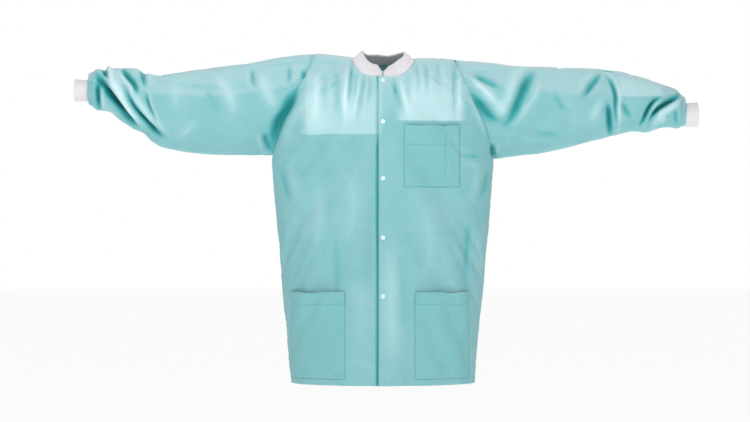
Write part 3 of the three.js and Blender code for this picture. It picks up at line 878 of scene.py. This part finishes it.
def makeNonwoven():
    m = Nodes("tealNonwoven")
    cloud = m.noise(m.place["Object"], nonwoven["cloud"], 5.0, 0.62, 0.6)
    stretch = m.add("Mapping", {"Vector": m.place["UV"], "Scale": (1, nonwoven["fibreStretch"], 1)})
    fibre = m.noise(stretch.outputs[0], nonwoven["fibre"], 4.0, 0.7, 1.5)
    colour = m.mix(m.spread(m.both(cloud, fibre), 0.72, 1.28), nonwoven["deep"], nonwoven["light"])
    # painted light: the more a face turns up toward the key lamp, the more it takes the pale colour
    normal = m.add("SeparateXYZ", {0: m.add("NewGeometry").outputs["Normal"]})
    upLitShare = m.spread(normal.outputs["Z"], 0.08, 0.80, toHigh=0.8, interpolation_type="SMOOTHSTEP")
    upLitColour = m.mix(upLitShare, colour, nonwoven["pale"])
    # painted shade (plus) and painted highlight (minus) carried on the cloth from creases, seams, folds and
    # pockets
    tone = m.add("Attribute", attribute_name="paintedShadeAndLight").outputs["Fac"]
    ramp = m.add("ValToRGB", {0: tone})
    first, last = ramp.color_ramp.elements
    first.position, first.color = 0.0, nonwoven["light"]
    last.position, last.color = 1.0, nonwoven["creaseShadeColours"][-1]
    for position, colourThere in zip((0.3, 0.6), nonwoven["creaseShadeColours"]):
        ramp.color_ramp.elements.new(position).color = colourThere
    # painted shade: the cloth darkens toward the crease shade colours
    folded = m.mix(m.spread(tone, 0.02, 0.30), upLitColour, ramp.outputs["Color"])
    # painted highlight where the tone goes below zero
    withPaintedHighlight = m.mix(m.spread(tone, 0.0, -1.0, toHigh=0.9), folded, nonwoven["ridge"])
    rough = m.spread(fibre, 0.0, 1.0, nonwoven["roughness"] - 0.06, nonwoven["roughness"] + 0.10)
    dots = m.add("Mapping", {"Vector": m.place["UV"], "Rotation": (0, 0, math.pi / 4),
                             "Scale": (1 / nonwoven["bondPitch"],) * 3})
    bond = m.add("TexVoronoi", {"Vector": dots.outputs[0], "Scale": 1.0, "Randomness": 0.0})
    relief = m.both(m.spread(bond.outputs["Distance"], 0.18, 0.34), fibre)
    return m.finish({"Base Color": withPaintedHighlight, "Roughness": rough, "Normal": m.bump(relief, 0.35, 0.00025),
                     "Specular IOR Level": 0.28, "Sheen Weight": 0.10, "Sheen Roughness": 0.5})


knit = {"light": (0.80, 0.79, 0.805, 1), "deep": (0.66, 0.645, 0.665, 1), "loop": 1500.0, "rows": 260.0}


def makeKnit():
    m = Nodes("whiteKnit")
    loops = m.add("TexWave", {"Vector": m.place["UV"], "Scale": knit["rows"], "Distortion": 1.2,
                              "Detail": 2.0, "Detail Scale": 2.0}, bands_direction="Y").outputs["Fac"]
    both = m.both(loops, m.noise(m.place["Object"], knit["loop"], 3.0))
    colour = m.mix(m.spread(both, 0.5, 1.4), knit["deep"], knit["light"])
    return m.finish({"Base Color": colour, "Normal": m.bump(both, 0.5, 0.0003), "Roughness": 0.85,
                     "Sheen Weight": 0.25, "Specular IOR Level": 0.2})


snapPlastic = {"haze": 420.0, "deep": (0.52, 0.74, 0.76, 1), "light": (0.80, 0.91, 0.92, 1)}


def makeSnapPlastic():
    m = Nodes("snapPlastic")
    haze = m.noise(m.place["Object"], snapPlastic["haze"], 3.0)
    colour = m.mix(haze, snapPlastic["deep"], snapPlastic["light"])
    return m.finish({"Base Color": colour, "Roughness": m.spread(haze, 0.0, 1.0, 0.22, 0.36),
                     "Coat Weight": 0.3, "Coat Roughness": 0.15})


thread = {"ply": 2600.0, "deep": (0.36, 0.62, 0.64, 1), "light": (0.62, 0.82, 0.83, 1)}


def makeThread():
    m = Nodes("sewingThread")
    ply = m.noise(m.place["Object"], thread["ply"], 2.0)
    colour = m.mix(ply, thread["deep"], thread["light"])
    return m.finish({"Base Color": colour, "Normal": m.bump(ply, 0.4, 0.0001), "Roughness": 0.6})


materials = {"cloth": makeNonwoven(), "knit": makeKnit(), "snap": makeSnapPlastic(), "thread": makeThread()}
print("materials made")


def gridMesh(name, p, material, closedAcross=False, closedAlong=False, outward=None, paintedShading=None):
    # a sheet from a grid of points; outward is a grid of directions that its faces should look along
    rows, columns = p.shape[:2]
    i = np.arange(rows if closedAcross else rows - 1)
    j = np.arange(columns if closedAlong else columns - 1)
    ii, jj = np.meshgrid(i, j, indexing="ij")
    corners = [(ii, jj), (ii + 1, jj), (ii + 1, jj + 1), (ii, jj + 1)]
    quads = np.stack([(a % rows) * columns + b % columns for a, b in corners], -1).reshape(-1, 4)
    flat = p.reshape(-1, 3)
    stepA = np.linalg.norm(np.diff(p, axis=0), axis=-1).mean()
    stepB = np.linalg.norm(np.diff(p, axis=1), axis=-1).mean()
    uv = np.stack([np.stack([a * stepA, b * stepB], -1) for a, b in corners], 2).reshape(-1, 4, 2)
    if outward is not None:
        c = flat[quads]
        normal = np.cross(c[:, 2] - c[:, 0], c[:, 3] - c[:, 1])
        if (normal * outward.reshape(-1, 3)[quads[:, 0]]).sum() < 0:
            quads, uv = quads[:, ::-1], uv[:, ::-1]
    mesh = bpy.data.meshes.new(name)
    mesh.from_pydata(flat.tolist(), [], quads.tolist())
    layer = mesh.uv_layers.new(name="cloth")
    layer.data.foreach_set("uv", uv.reshape(-1))
    mesh.polygons.foreach_set("use_smooth", np.ones(len(quads), bool))
    # the painted shade and painted highlight that the cloth material reads
    if paintedShading is not None:
        tone = mesh.attributes.new("paintedShadeAndLight", "FLOAT", "POINT")
        tone.data.foreach_set("value", np.ravel(paintedShading).astype(np.float32))
    mesh.materials.append(material)
    return placed(name, mesh)


def thicken(piece, thickness, rim=True):
    wall = piece.modifiers.new("wall", "SOLIDIFY")
    wall.thickness = thickness
    wall.offset = -1
    wall.use_rim = rim
    return piece


clothWall = 0.0007


def clothPiece(name, key, rows=slice(None)):
    p, n, paintedShading = surfaces[key]
    tube = key.startswith("sleeve")
    piece = gridMesh(name, p[rows], materials["cloth"], closedAlong=tube, outward=n[rows],
                     paintedShading=paintedShading[rows])
    return thicken(piece, clothWall, rim=not tube)


def followFront(piece, sign):
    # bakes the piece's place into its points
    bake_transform(piece)


def followArm(piece):
    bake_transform(piece)


panels = {
    "front_left": {"nodes": ("front_left_panel", "front_left_flap"), "flat": (0.30, 0.78), "area": 0.205},
    "front_right": {"nodes": ("front_right_panel", "front_right_flap"), "flat": (0.31, 0.78), "area": 0.212},
    "back": {"nodes": ("back_panel",), "flat": (0.56, 0.78), "area": 0.40},
}
for key, facts in panels.items():
    piece = clothPiece(key + "_cloth", key)
    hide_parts(*facts["nodes"])
    if key == "back":
        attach(piece, "coat_body")
    else:
        followFront(piece, 1 if key == "front_left" else -1)

for side, facts in sleeves.items():
    p = surfaces["sleeve_" + side][0]
    across = np.abs(p[..., 0]).mean(1)
    cut = int(np.argmax(across > sleeveRings["split"])) + 1
    upper = clothPiece(side + "_sleeve_upper", "sleeve_" + side, slice(0, cut + 1))
    lower = clothPiece(side + "_sleeve_lower", "sleeve_" + side, slice(cut, None))
    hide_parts(side + "_sleeve_head", side + "_upper_sleeve")
    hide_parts(side + "_elbow_section", side + "_forearm_sleeve")
    followArm(upper)
    followArm(lower)
print("body and sleeves made")


def surfaceTree(key):
    p = surfaces[key][0]
    rows, columns = p.shape[:2]
    i, j = np.meshgrid(np.arange(rows - 1), np.arange(columns - 1), indexing="ij")
    first = (i * columns + j).ravel()
    quads = np.stack([first, first + columns, first + columns + 1, first + 1], -1)
    return BVHTree.FromPolygons(p.reshape(-1, 3).tolist(), quads.tolist())


trees = {key: surfaceTree(key) for key in ("front_left", "front_right", "back")}


def onFront(key, x, z, off=0.0):
    # the points of a front at these places, and the directions out of it
    way = -1 if key != "back" else 1
    shape = np.shape(x)
    flatX, flatZ = np.ravel(x), np.ravel(z)
    p, n = np.empty((len(flatX), 3)), np.empty((len(flatX), 3))
    for i, (a, b) in enumerate(zip(flatX, flatZ)):
        spot, normal, _, _ = trees[key].ray_cast(Vector((a, way, b)), Vector((0, -way, 0)))
        if spot is None:
            spot, normal, _, _ = trees[key].find_nearest(Vector((a, way * 0.13, b)))
        p[i] = spot
        n[i] = normal if normal.y * way > 0 else -normal
    p += n * np.ravel(np.broadcast_to(off, shape))[:, None]
    return p.reshape(*shape, 3), n.reshape(*shape, 3)


pockets = {
    "chest_pocket": {"front": "front_left", "hem": 0.044, "gape": 0.0032, "slump": 0.0022,
                     "divider": 0.76},
    "left_lower_pocket": {"front": "front_left", "hem": 0.026, "gape": 0.0065, "slump": 0.0035},
    "right_lower_pocket": {"front": "front_right", "hem": 0.026, "gape": 0.0065, "slump": 0.0035},
}
pocketCloth = {
    "columns": 64,
    "rows": 88,
    "about": 0.13,                # what a pocket measures across, near enough for the distance to its sides
    "wall": 0.0006,
    "edge": 0.0011,
    "tuck": 0.0004,
    "hemRise": 0.0007,
    "sag": 0.0025,
    "drawn": 0.0008,
    "ripple": 0.0011,
    "dividerDip": 0.0022,
    "stitchIn": 0.003,
    "threadOff": 0.00025,
}
stitchPaths = {"left_front": [], "right_front": [], "coat_body": []}


def rimDistance(u, v, height):
    return np.minimum(np.minimum(u, 1 - u) * pocketCloth["about"], v * height)


def pocketOff(u, v, facts, height, seed):
    # how far the pocket stands off the front: sewn down on three sides, and free at its mouth
    middle = 1 - (2 * u - 1) ** 4
    off = pocketCloth["edge"] + facts["slump"] * middle * smooth(v, 0, 0.3)
    off = off + facts["gape"] * middle * smooth(v, 0.72, 1.0)
    line = 1 - facts["hem"] / height
    off = off + pocketCloth["hemRise"] * smooth(v, line - 0.006, line)
    ripple = np.sin(2 * np.pi * (2.3 * u + 0.8 * v) + seed)
    ripple = ripple * np.sin(2 * np.pi * (1.1 * v - 0.7 * u) + 2 * seed)
    off = off + pocketCloth["ripple"] * ripple * middle * smooth(v, 0.02, 0.2)
    if "divider" in facts:
        dip = np.exp(-((u - facts["divider"]) / 0.022) ** 2) * smooth(v, 0, 0.1)
        off = off - pocketCloth["dividerDip"] * dip
    rim = rimDistance(u, v, height)
    return off * smooth(rim, -0.001, 0.004) + pocketCloth["tuck"] * (1 - smooth(rim, 0, 0.003))


def pocketTone(u, v, facts, height):
    # two layers look deeper; the extra darkening along the rim and just under the mouth's hem is painted
    # shade
    rim = rimDistance(u, v, height)
    line = (v - (1 - facts["hem"] / height)) * height
    underHem = np.exp(-((line + 0.001) / 0.0016) ** 2)
    return 0.16 + 0.16 * np.exp(-(rim / 0.0022) ** 2) + 0.12 * underHem + 0 * u


def pocketSpot(u, v, low, high):
    # a sagging mouth, and sides drawn in here and there by their stitches
    width, height = high[0] - low[0], high[2] - low[2]
    z = low[2] + height * v - pocketCloth["sag"] * np.sin(np.pi * u) * smooth(v, 0.7, 1.0)
    wave = np.sin(z * 260 + 40 * low[0]) * np.sin(z * 97 + 3)
    x = low[0] + width * u + pocketCloth["drawn"] * (2 * u - 1) * (wave - 1)
    wave = np.sin(x * 240 + 1) * np.sin(x * 91)
    return x, z + pocketCloth["drawn"] * (1 - v) * (1 + wave)


def makePocket(name, facts, seed):
    low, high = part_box(name)
    u = np.linspace(0, 1, pocketCloth["columns"])[:, None]
    v = np.linspace(0, 1, pocketCloth["rows"])[None]
    height = high[2] - low[2]
    x, z = pocketSpot(u, v, low, high)
    p, n = onFront(facts["front"], x, z, pocketOff(u, v, facts, height, seed))
    p += crumpled(p * 1.3, 0.3)[..., None] * n
    tone = pocketTone(u, v, facts, height)
    piece = gridMesh(name + "_cloth", p, materials["cloth"], outward=n, paintedShading=tone)
    thicken(piece, pocketCloth["wall"])
    inset = pocketCloth["stitchIn"]
    aside = inset / pocketCloth["about"]
    sides = [(aside, 1.0), (aside, inset / height), (1 - aside, inset / height), (1 - aside, 1.0)]
    line = 1 - facts["hem"] / height
    rows = [np.concatenate([np.linspace(a, b, 40) for a, b in zip(sides[:-1], sides[1:])]),
            np.linspace((0.02, line), (0.98, line), 40)]
    if "divider" in facts:
        rows.append(np.linspace((facts["divider"], inset / height), (facts["divider"], 0.995), 40))
    body = "left_front" if facts["front"] == "front_left" else "right_front"
    for uv in rows:
        px, pz = pocketSpot(uv[:, 0], uv[:, 1], low, high)
        off = pocketOff(uv[:, 0], uv[:, 1], facts, height, seed) + pocketCloth["threadOff"]
        stitchPaths[body].append(onFront(facts["front"], px, pz, off)[0])
    return piece, (high[0] - low[0], height)


for seed, (name, facts) in enumerate(pockets.items()):
    piece, size = makePocket(name, facts, 1.3 * seed + 0.4)
    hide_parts(name)
    followFront(piece, 1 if facts["front"] == "front_left" else -1)
print("pockets made")

placket = {"width": 0.025, "off": -0.0016, "wall": 0.0006, "rows": 240, "columns": 8}


def makePlacket(name, key, sign, edge):
    low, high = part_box(name)
    across = np.linspace(0.001, placket["width"], placket["columns"])[:, None]
    z = np.linspace(coat["hem"] + 0.001, high[2], placket["rows"])[None]
    x = edge + sign * across + 0 * z
    p, n = onFront(key, x, z + 0 * across, placket["off"])
    piece = gridMesh(name + "_cloth", p, materials["cloth"], outward=n)
    return thicken(piece, placket["wall"]), high[2] - low[2]


for name, key, sign, edge in (("left_placket", "front_left", 1, coat["topEdge"]),
                              ("right_placket", "front_right", -1, coat["underEdge"])):
    piece, length = makePlacket(name, key, sign, edge)
    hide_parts(name)
    followFront(piece, sign)

stitchRows = {"edge": 0.0025, "placket": 0.0225, "hem": 0.0125, "hemHalf": 0.205, "above": 0.0003}


def hemStitches(body, key, x):
    z = np.full(len(x), coat["hem"] + stitchRows["hem"])
    stitchPaths[body].append(onFront(key, x, z, stitchRows["above"])[0])


def frontStitchRows():
    z = np.linspace(coat["hem"] + 0.003, coat["neckDrop"][-1] - 0.004, 150)
    for key, sign, edge, body in (("front_left", 1, coat["topEdge"], "left_front"),
                                  ("front_right", -1, coat["underEdge"], "right_front")):
        for inset in (stitchRows["edge"], stitchRows["placket"]):
            x = np.full(len(z), edge + sign * inset)
            stitchPaths[body].append(onFront(key, x, z, stitchRows["above"])[0])
        hemStitches(body, key, np.linspace(edge + sign * 0.003, sign * stitchRows["hemHalf"], 90))
    hemStitches("coat_body", "back", np.linspace(-stitchRows["hemHalf"], stitchRows["hemHalf"], 160))


frontStitchRows()

stitch = {"Pitch": 0.0036, "Length": 0.0025, "Thickness": 0.00055}


def stitchTree():
    tree = bpy.data.node_groups.new("stitchRun", "GeometryNodeTree")
    face = tree.interface
    face.new_socket("Geometry", in_out="INPUT", socket_type="NodeSocketGeometry")
    for label in stitch:
        face.new_socket(label, in_out="INPUT", socket_type="NodeSocketFloat")
    face.new_socket("Material", in_out="INPUT", socket_type="NodeSocketMaterial")
    face.new_socket("Geometry", in_out="OUTPUT", socket_type="NodeSocketGeometry")
    add = tree.nodes.new
    source, out = add("NodeGroupInput"), add("NodeGroupOutput")
    curve, spaced = add("GeometryNodeMeshToCurve"), add("GeometryNodeResampleCurve")
    spaced.mode = "LENGTH"
    tangent, turn = add("GeometryNodeInputTangent"), add("FunctionNodeAlignRotationToVector")
    turn.axis = "X"
    bead, size = add("GeometryNodeMeshUVSphere"), add("ShaderNodeCombineXYZ")
    bead.inputs["Segments"].default_value = 6
    bead.inputs["Rings"].default_value = 5
    bead.inputs["Radius"].default_value = 0.5
    place, real = add("GeometryNodeInstanceOnPoints"), add("GeometryNodeRealizeInstances")
    paint = add("GeometryNodeSetMaterial")
    link = tree.links.new
    link(source.outputs["Geometry"], curve.inputs["Mesh"])
    link(curve.outputs[0], spaced.inputs["Curve"])
    link(source.outputs["Pitch"], spaced.inputs["Length"])
    link(tangent.outputs[0], turn.inputs["Vector"])
    link(source.outputs["Length"], size.inputs[0])
    link(source.outputs["Thickness"], size.inputs[1])
    link(source.outputs["Thickness"], size.inputs[2])
    link(spaced.outputs[0], place.inputs["Points"])
    link(bead.outputs["Mesh"], place.inputs["Instance"])
    link(turn.outputs[0], place.inputs["Rotation"])
    link(size.outputs[0], place.inputs["Scale"])
    link(place.outputs[0], real.inputs[0])
    link(real.outputs[0], paint.inputs["Geometry"])
    link(source.outputs["Material"], paint.inputs["Material"])
    link(paint.outputs[0], out.inputs[0])
    return tree


def makeStitches(name, paths, tree):
    points, edges = [], []
    for path in paths:
        start = len(points)
        points += [tuple(q) for q in path]
        edges += [(i, i + 1) for i in range(start, len(points) - 1)]
    mesh = bpy.data.meshes.new(name + "_path")
    mesh.from_pydata(points, edges, [])
    run = placed(name + "_path", mesh)
    modifier = run.modifiers.new("stitches", "NODES")
    modifier.node_group = tree
    sockets = {s.name: s.identifier for s in tree.interface.items_tree if s.in_out == "INPUT"}
    for label, value in stitch.items():
        modifier[sockets[label]] = value
    modifier[sockets["Material"]] = materials["thread"]
    graph = bpy.context.evaluated_depsgraph_get()
    done = bpy.data.meshes.new_from_object(run.evaluated_get(graph), depsgraph=graph)
    done.name = name
    bpy.data.objects.remove(run)
    return placed(name, done)


tree = stitchTree()
for body, paths in stitchPaths.items():
    piece = makeStitches(body + "_stitches", paths, tree)
    if body == "coat_body":
        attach(piece, body)
    else:
        followFront(piece, 1 if body == "left_front" else -1)
print("plackets and stitches made")

snap = {
    "segments": 40,
    "cap": [(0, 0.0011), (0.0022, 0.00105), (0.0030, 0.0014), (0.0042, 0.0017), (0.0048, 0.0015),
            (0.0054, 0.0009), (0.0056, 0.0003), (0.0053, 0.0), (0, 0.0)],
    "socket": [(0.0021, -0.0001), (0.0021, -0.0011), (0.0024, -0.0015), (0.0046, -0.0015), (0.0054, -0.0010),
               (0.0056, -0.0001)],
    "stud": [(0, 0.0018), (0.0012, 0.0018), (0.0017, 0.0014), (0.0015, 0.0009), (0.0018, 0.0007),
             (0.0046, 0.0007), (0.0054, 0.0004), (0.0055, 0.0), (0, 0.0)],
    "ring": [(0.0020, -0.0001), (0.0020, -0.0006), (0.0026, -0.0009), (0.0046, -0.0009), (0.0053, -0.0005),
             (0.0054, -0.0001)],
    "clothBehind": 0.0016,
    "above": 0.0001,
}


def turned(name, profile, centre, axis, closed):
    # a profile of (radius, height) turned about an axis out of the cloth
    axis = Vector(axis).normalized()
    side = axis.orthogonal().normalized()
    other = axis.cross(side)
    angles = np.linspace(0, 2 * np.pi, snap["segments"], endpoint=False)
    ring = np.cos(angles)[:, None] * np.array(side) + np.sin(angles)[:, None] * np.array(other)
    points, faces, starts = [], [], []
    count = snap["segments"]
    for radius, height in profile:
        starts.append(len(points))
        middle = np.array(centre) + np.array(axis) * height
        points.extend([middle] if radius == 0 else middle + ring * radius)
    pairs = list(zip(range(len(profile) - 1), range(1, len(profile))))
    if closed:
        pairs.append((len(profile) - 1, 0))
    for a, b in pairs:
        for k in range(count):
            m = (k + 1) % count
            if profile[a][0] == 0:
                faces.append((starts[a], starts[b] + k, starts[b] + m))
            elif profile[b][0] == 0:
                faces.append((starts[a] + m, starts[a] + k, starts[b]))
            else:
                faces.append((starts[a] + m, starts[a] + k, starts[b] + k, starts[b] + m))
    mesh = bpy.data.meshes.new(name)
    mesh.from_pydata([tuple(q) for q in points], [], faces)
    mesh.materials.append(materials["snap"])
    mesh.polygons.foreach_set("use_smooth", np.ones(len(faces), bool))
    corners = [np.array([points[i] for i in f]) for f in faces]
    volume = sum(np.dot(c[0], np.cross(c[i], c[i + 1])) for c in corners for i in range(1, len(c) - 1))
    if volume < 0:
        mesh.flip_normals()
    piece = placed(name, mesh)
    bevel = piece.modifiers.new("soft", "SUBSURF")
    bevel.levels = bevel.render_levels = 1
    return piece


for number in range(1, 6):
    low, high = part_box(f"snap_{number}_cap")
    x, z = np.array([(low[0] + high[0]) / 2]), np.array([(low[2] + high[2]) / 2])
    outer, outerWay = onFront("front_left", x, z, snap["above"])
    under, underWay = onFront("front_right", x, z, snap["above"])
    axis = outerWay[0]
    behind = outer[0] - axis * snap["clothBehind"]
    far = under[0] - underWay[0] * snap["clothBehind"]
    for kind, centre, way, sign in (("cap", outer[0], axis, 1), ("socket", behind, axis, 1),
                                    ("stud", under[0], underWay[0], -1), ("ring", far, underWay[0], -1)):
        node = f"snap_{number}_{kind}"
        piece = turned(node + "_disc", snap[kind], centre, way, kind in ("socket", "ring"))
        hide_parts(node)
        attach(piece, "left_front" if sign > 0 else "right_front")
print("snaps made")

rib = {"pitch": 0.0027, "height": 0.00045, "stepsPerRib": 6, "wall": 0.0032}


def ribs(run):
    return rib["height"] * np.abs(np.sin(np.pi * run / rib["pitch"])) ** 0.8


# the share of the collar's height at each distance from its front ends
collar = {"shares": [(0, 0.40), (0.009, 0.85), (0.022, 1.35), (0.042, 1.30), (0.080, 1.0)],
          "height": 0.0175, "lean": 0.0215, "across": 14, "fold": 5, "swell": 0.0012, "waver": 0.0015}


def neckLoop():
    # the neck seam, from the right front's end round the back to the left front's end
    left, right, back = (settled[edge] for edge in neckEdges())
    right[0] = (-0.0012, right[1:2, 1].mean() + 0.001, right[0, 2])
    left[0] = (0.0012, left[1:2, 1].mean() + 0.001, left[0, 2])
    right = right[[0] + [i for i in range(1, len(right)) if right[i, 0] < -0.004]]
    left = left[[0] + [i for i in range(1, len(left)) if left[i, 0] > 0.004]]
    return np.concatenate([right, back[1:-1], left[::-1]])


def makeCollar():
    loop = neckLoop()
    run = np.concatenate([[0], np.cumsum(np.linalg.norm(np.diff(loop, axis=0), axis=1))])
    steps = int(run[-1] / rib["pitch"] * rib["stepsPerRib"])
    s = np.linspace(0, run[-1], steps)
    fineLoop = np.stack([np.interp(s, run, loop[:, k]) for k in range(3)], -1)
    kernel = np.exp(-np.linspace(-2, 2, 41) ** 2)
    kernel /= kernel.sum()
    padded = np.concatenate([2 * fineLoop[:1] - fineLoop[20:0:-1], fineLoop,
                             2 * fineLoop[-1:] - fineLoop[-2:-22:-1]])
    fineLoop = np.stack([np.convolve(padded[:, k], kernel, "valid") for k in range(3)], -1)
    tangent = unit(np.gradient(fineLoop, axis=0))
    centre = np.array([0, -0.018, 0])
    inward = unit((centre - fineLoop) * np.array([1, 1, 0]))
    ends = np.minimum(s, run[-1] - s)
    share = np.interp(ends, *np.transpose(collar["shares"]))
    share = np.convolve(np.pad(share, 20, "edge"), kernel, "valid")
    bottom = fineLoop - inward * 0.001
    top = fineLoop + inward * (collar["lean"] * share)[:, None]
    top[:, 2] += collar["height"] * share + collar["waver"] * np.sin(s * 90)
    up = top - bottom
    outward = unit(np.cross(up, tangent))
    if (outward * -inward).sum() < 0:
        outward = -outward
    rows = []
    half = rib["wall"] / 2
    for t in np.linspace(-0.10, 0.96, collar["across"]):
        swell = collar["swell"] * math.sin(math.pi * min(max(t, 0), 1))
        rows.append(bottom + up * t + outward * (half + swell + ribs(s))[:, None])
    upUnit = unit(up)
    for a in np.linspace(0, np.pi, collar["fold"] + 2)[1:-1]:
        rows.append(bottom + up * 0.96 + upUnit * half * math.sin(a) * 1.2
                    + outward * (half * math.cos(a) + ribs(s) * 0.7)[:, None])
    for t in np.linspace(0.96, -0.10, collar["across"]):
        rows.append(bottom + up * t - outward * (half + ribs(s))[:, None])
    p = np.array(rows).transpose(1, 0, 2)
    core = bottom + up * 0.4
    n = p - core[:, None]
    return p, n, fineLoop


def capEnds(piece, p):
    # closes the two ends of a bent strip
    work = bmesh.new()
    work.from_mesh(piece.data)
    work.verts.ensure_lookup_table()
    columns = p.shape[1]
    for first in (0, (p.shape[0] - 1) * columns):
        ring = [work.verts[first + k] for k in range(columns)]
        work.faces.new(ring)
    bmesh.ops.recalc_face_normals(work, faces=work.faces)
    work.to_mesh(piece.data)
    work.free()


collarPoints, collarWays, collarSeam = makeCollar()
widest = {sign: int(np.argmax(collarSeam[:, 0] * sign)) for sign in (-1, 1)}
collarParts = {
    "collar_right": (slice(0, widest[-1] + 1), -1),
    "collar_back": (slice(widest[-1], widest[1] + 1), 0),
    "collar_left": (slice(widest[1], None), 1),
}
for name, (span, sign) in collarParts.items():
    p = collarPoints[span]
    piece = gridMesh(name, p, materials["knit"], closedAlong=True, outward=collarWays[span])
    if sign:
        capEnds(piece, p)
    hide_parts("collar")
    if sign:
        followFront(piece, sign)
    else:
        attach(piece, "coat_body")
print("collar made")

cuff = {"inside": 0.020, "flare": 0.0012, "wall": 0.0030, "rows": 26, "fold": 6}


def makeCuff(side):
    facts = sleeves[side]
    low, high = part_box(side + "_cuff")
    tip = high[0] if facts["sign"] > 0 else -low[0]
    start = facts["end"] - cuff["inside"]
    radius = facts["cuffRadius"]
    count = int(2 * math.pi * radius / rib["pitch"]) * rib["stepsPerRib"]
    angle = np.linspace(0, 2 * np.pi, count, endpoint=False)
    ribbed = ribs(angle * radius)
    rows = []

    def ring(x, r, ribbing):
        r = r + ribbing * ribbed + 0.0006 * np.sin(3 * angle + 40 * x)
        rows.append(np.stack([np.full(count, facts["sign"] * x), -r * np.sin(angle),
                              facts["wrist"] - r * np.cos(angle) * 1.02], -1))

    end = tip - cuff["wall"] / 2
    for t in np.linspace(0, 1, cuff["rows"]):
        ring(start + (end - start) * t, radius + cuff["flare"] * t - 0.0008 * math.sin(math.pi * t), 1)
    for a in np.linspace(0, np.pi, cuff["fold"] + 2)[1:-1]:
        ring(end + cuff["wall"] / 2 * math.sin(a),
             radius + cuff["flare"] - cuff["wall"] / 2 * (1 - math.cos(a)), 0.8)
    for t in np.linspace(1, 0, cuff["rows"]):
        ring(start + (end - start) * t, radius + cuff["flare"] * t - cuff["wall"], 1)
    p = np.array(rows)
    core = np.stack([p[..., 0], 0 * p[..., 0], np.full(p.shape[:2], facts["wrist"])], -1)
    n = (p - core) * np.concatenate([np.ones(cuff["rows"] + cuff["fold"] // 2),
                                     -np.ones(len(rows) - cuff["rows"] - cuff["fold"] // 2)])[:, None, None]
    return gridMesh(side + "_cuff_rib", p, materials["knit"], closedAcross=True, closedAlong=True, outward=n)


for side in sleeves:
    piece = makeCuff(side)
    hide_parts(side + "_cuff")
    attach(piece, side + "_lower_arm")
print("cuffs made")
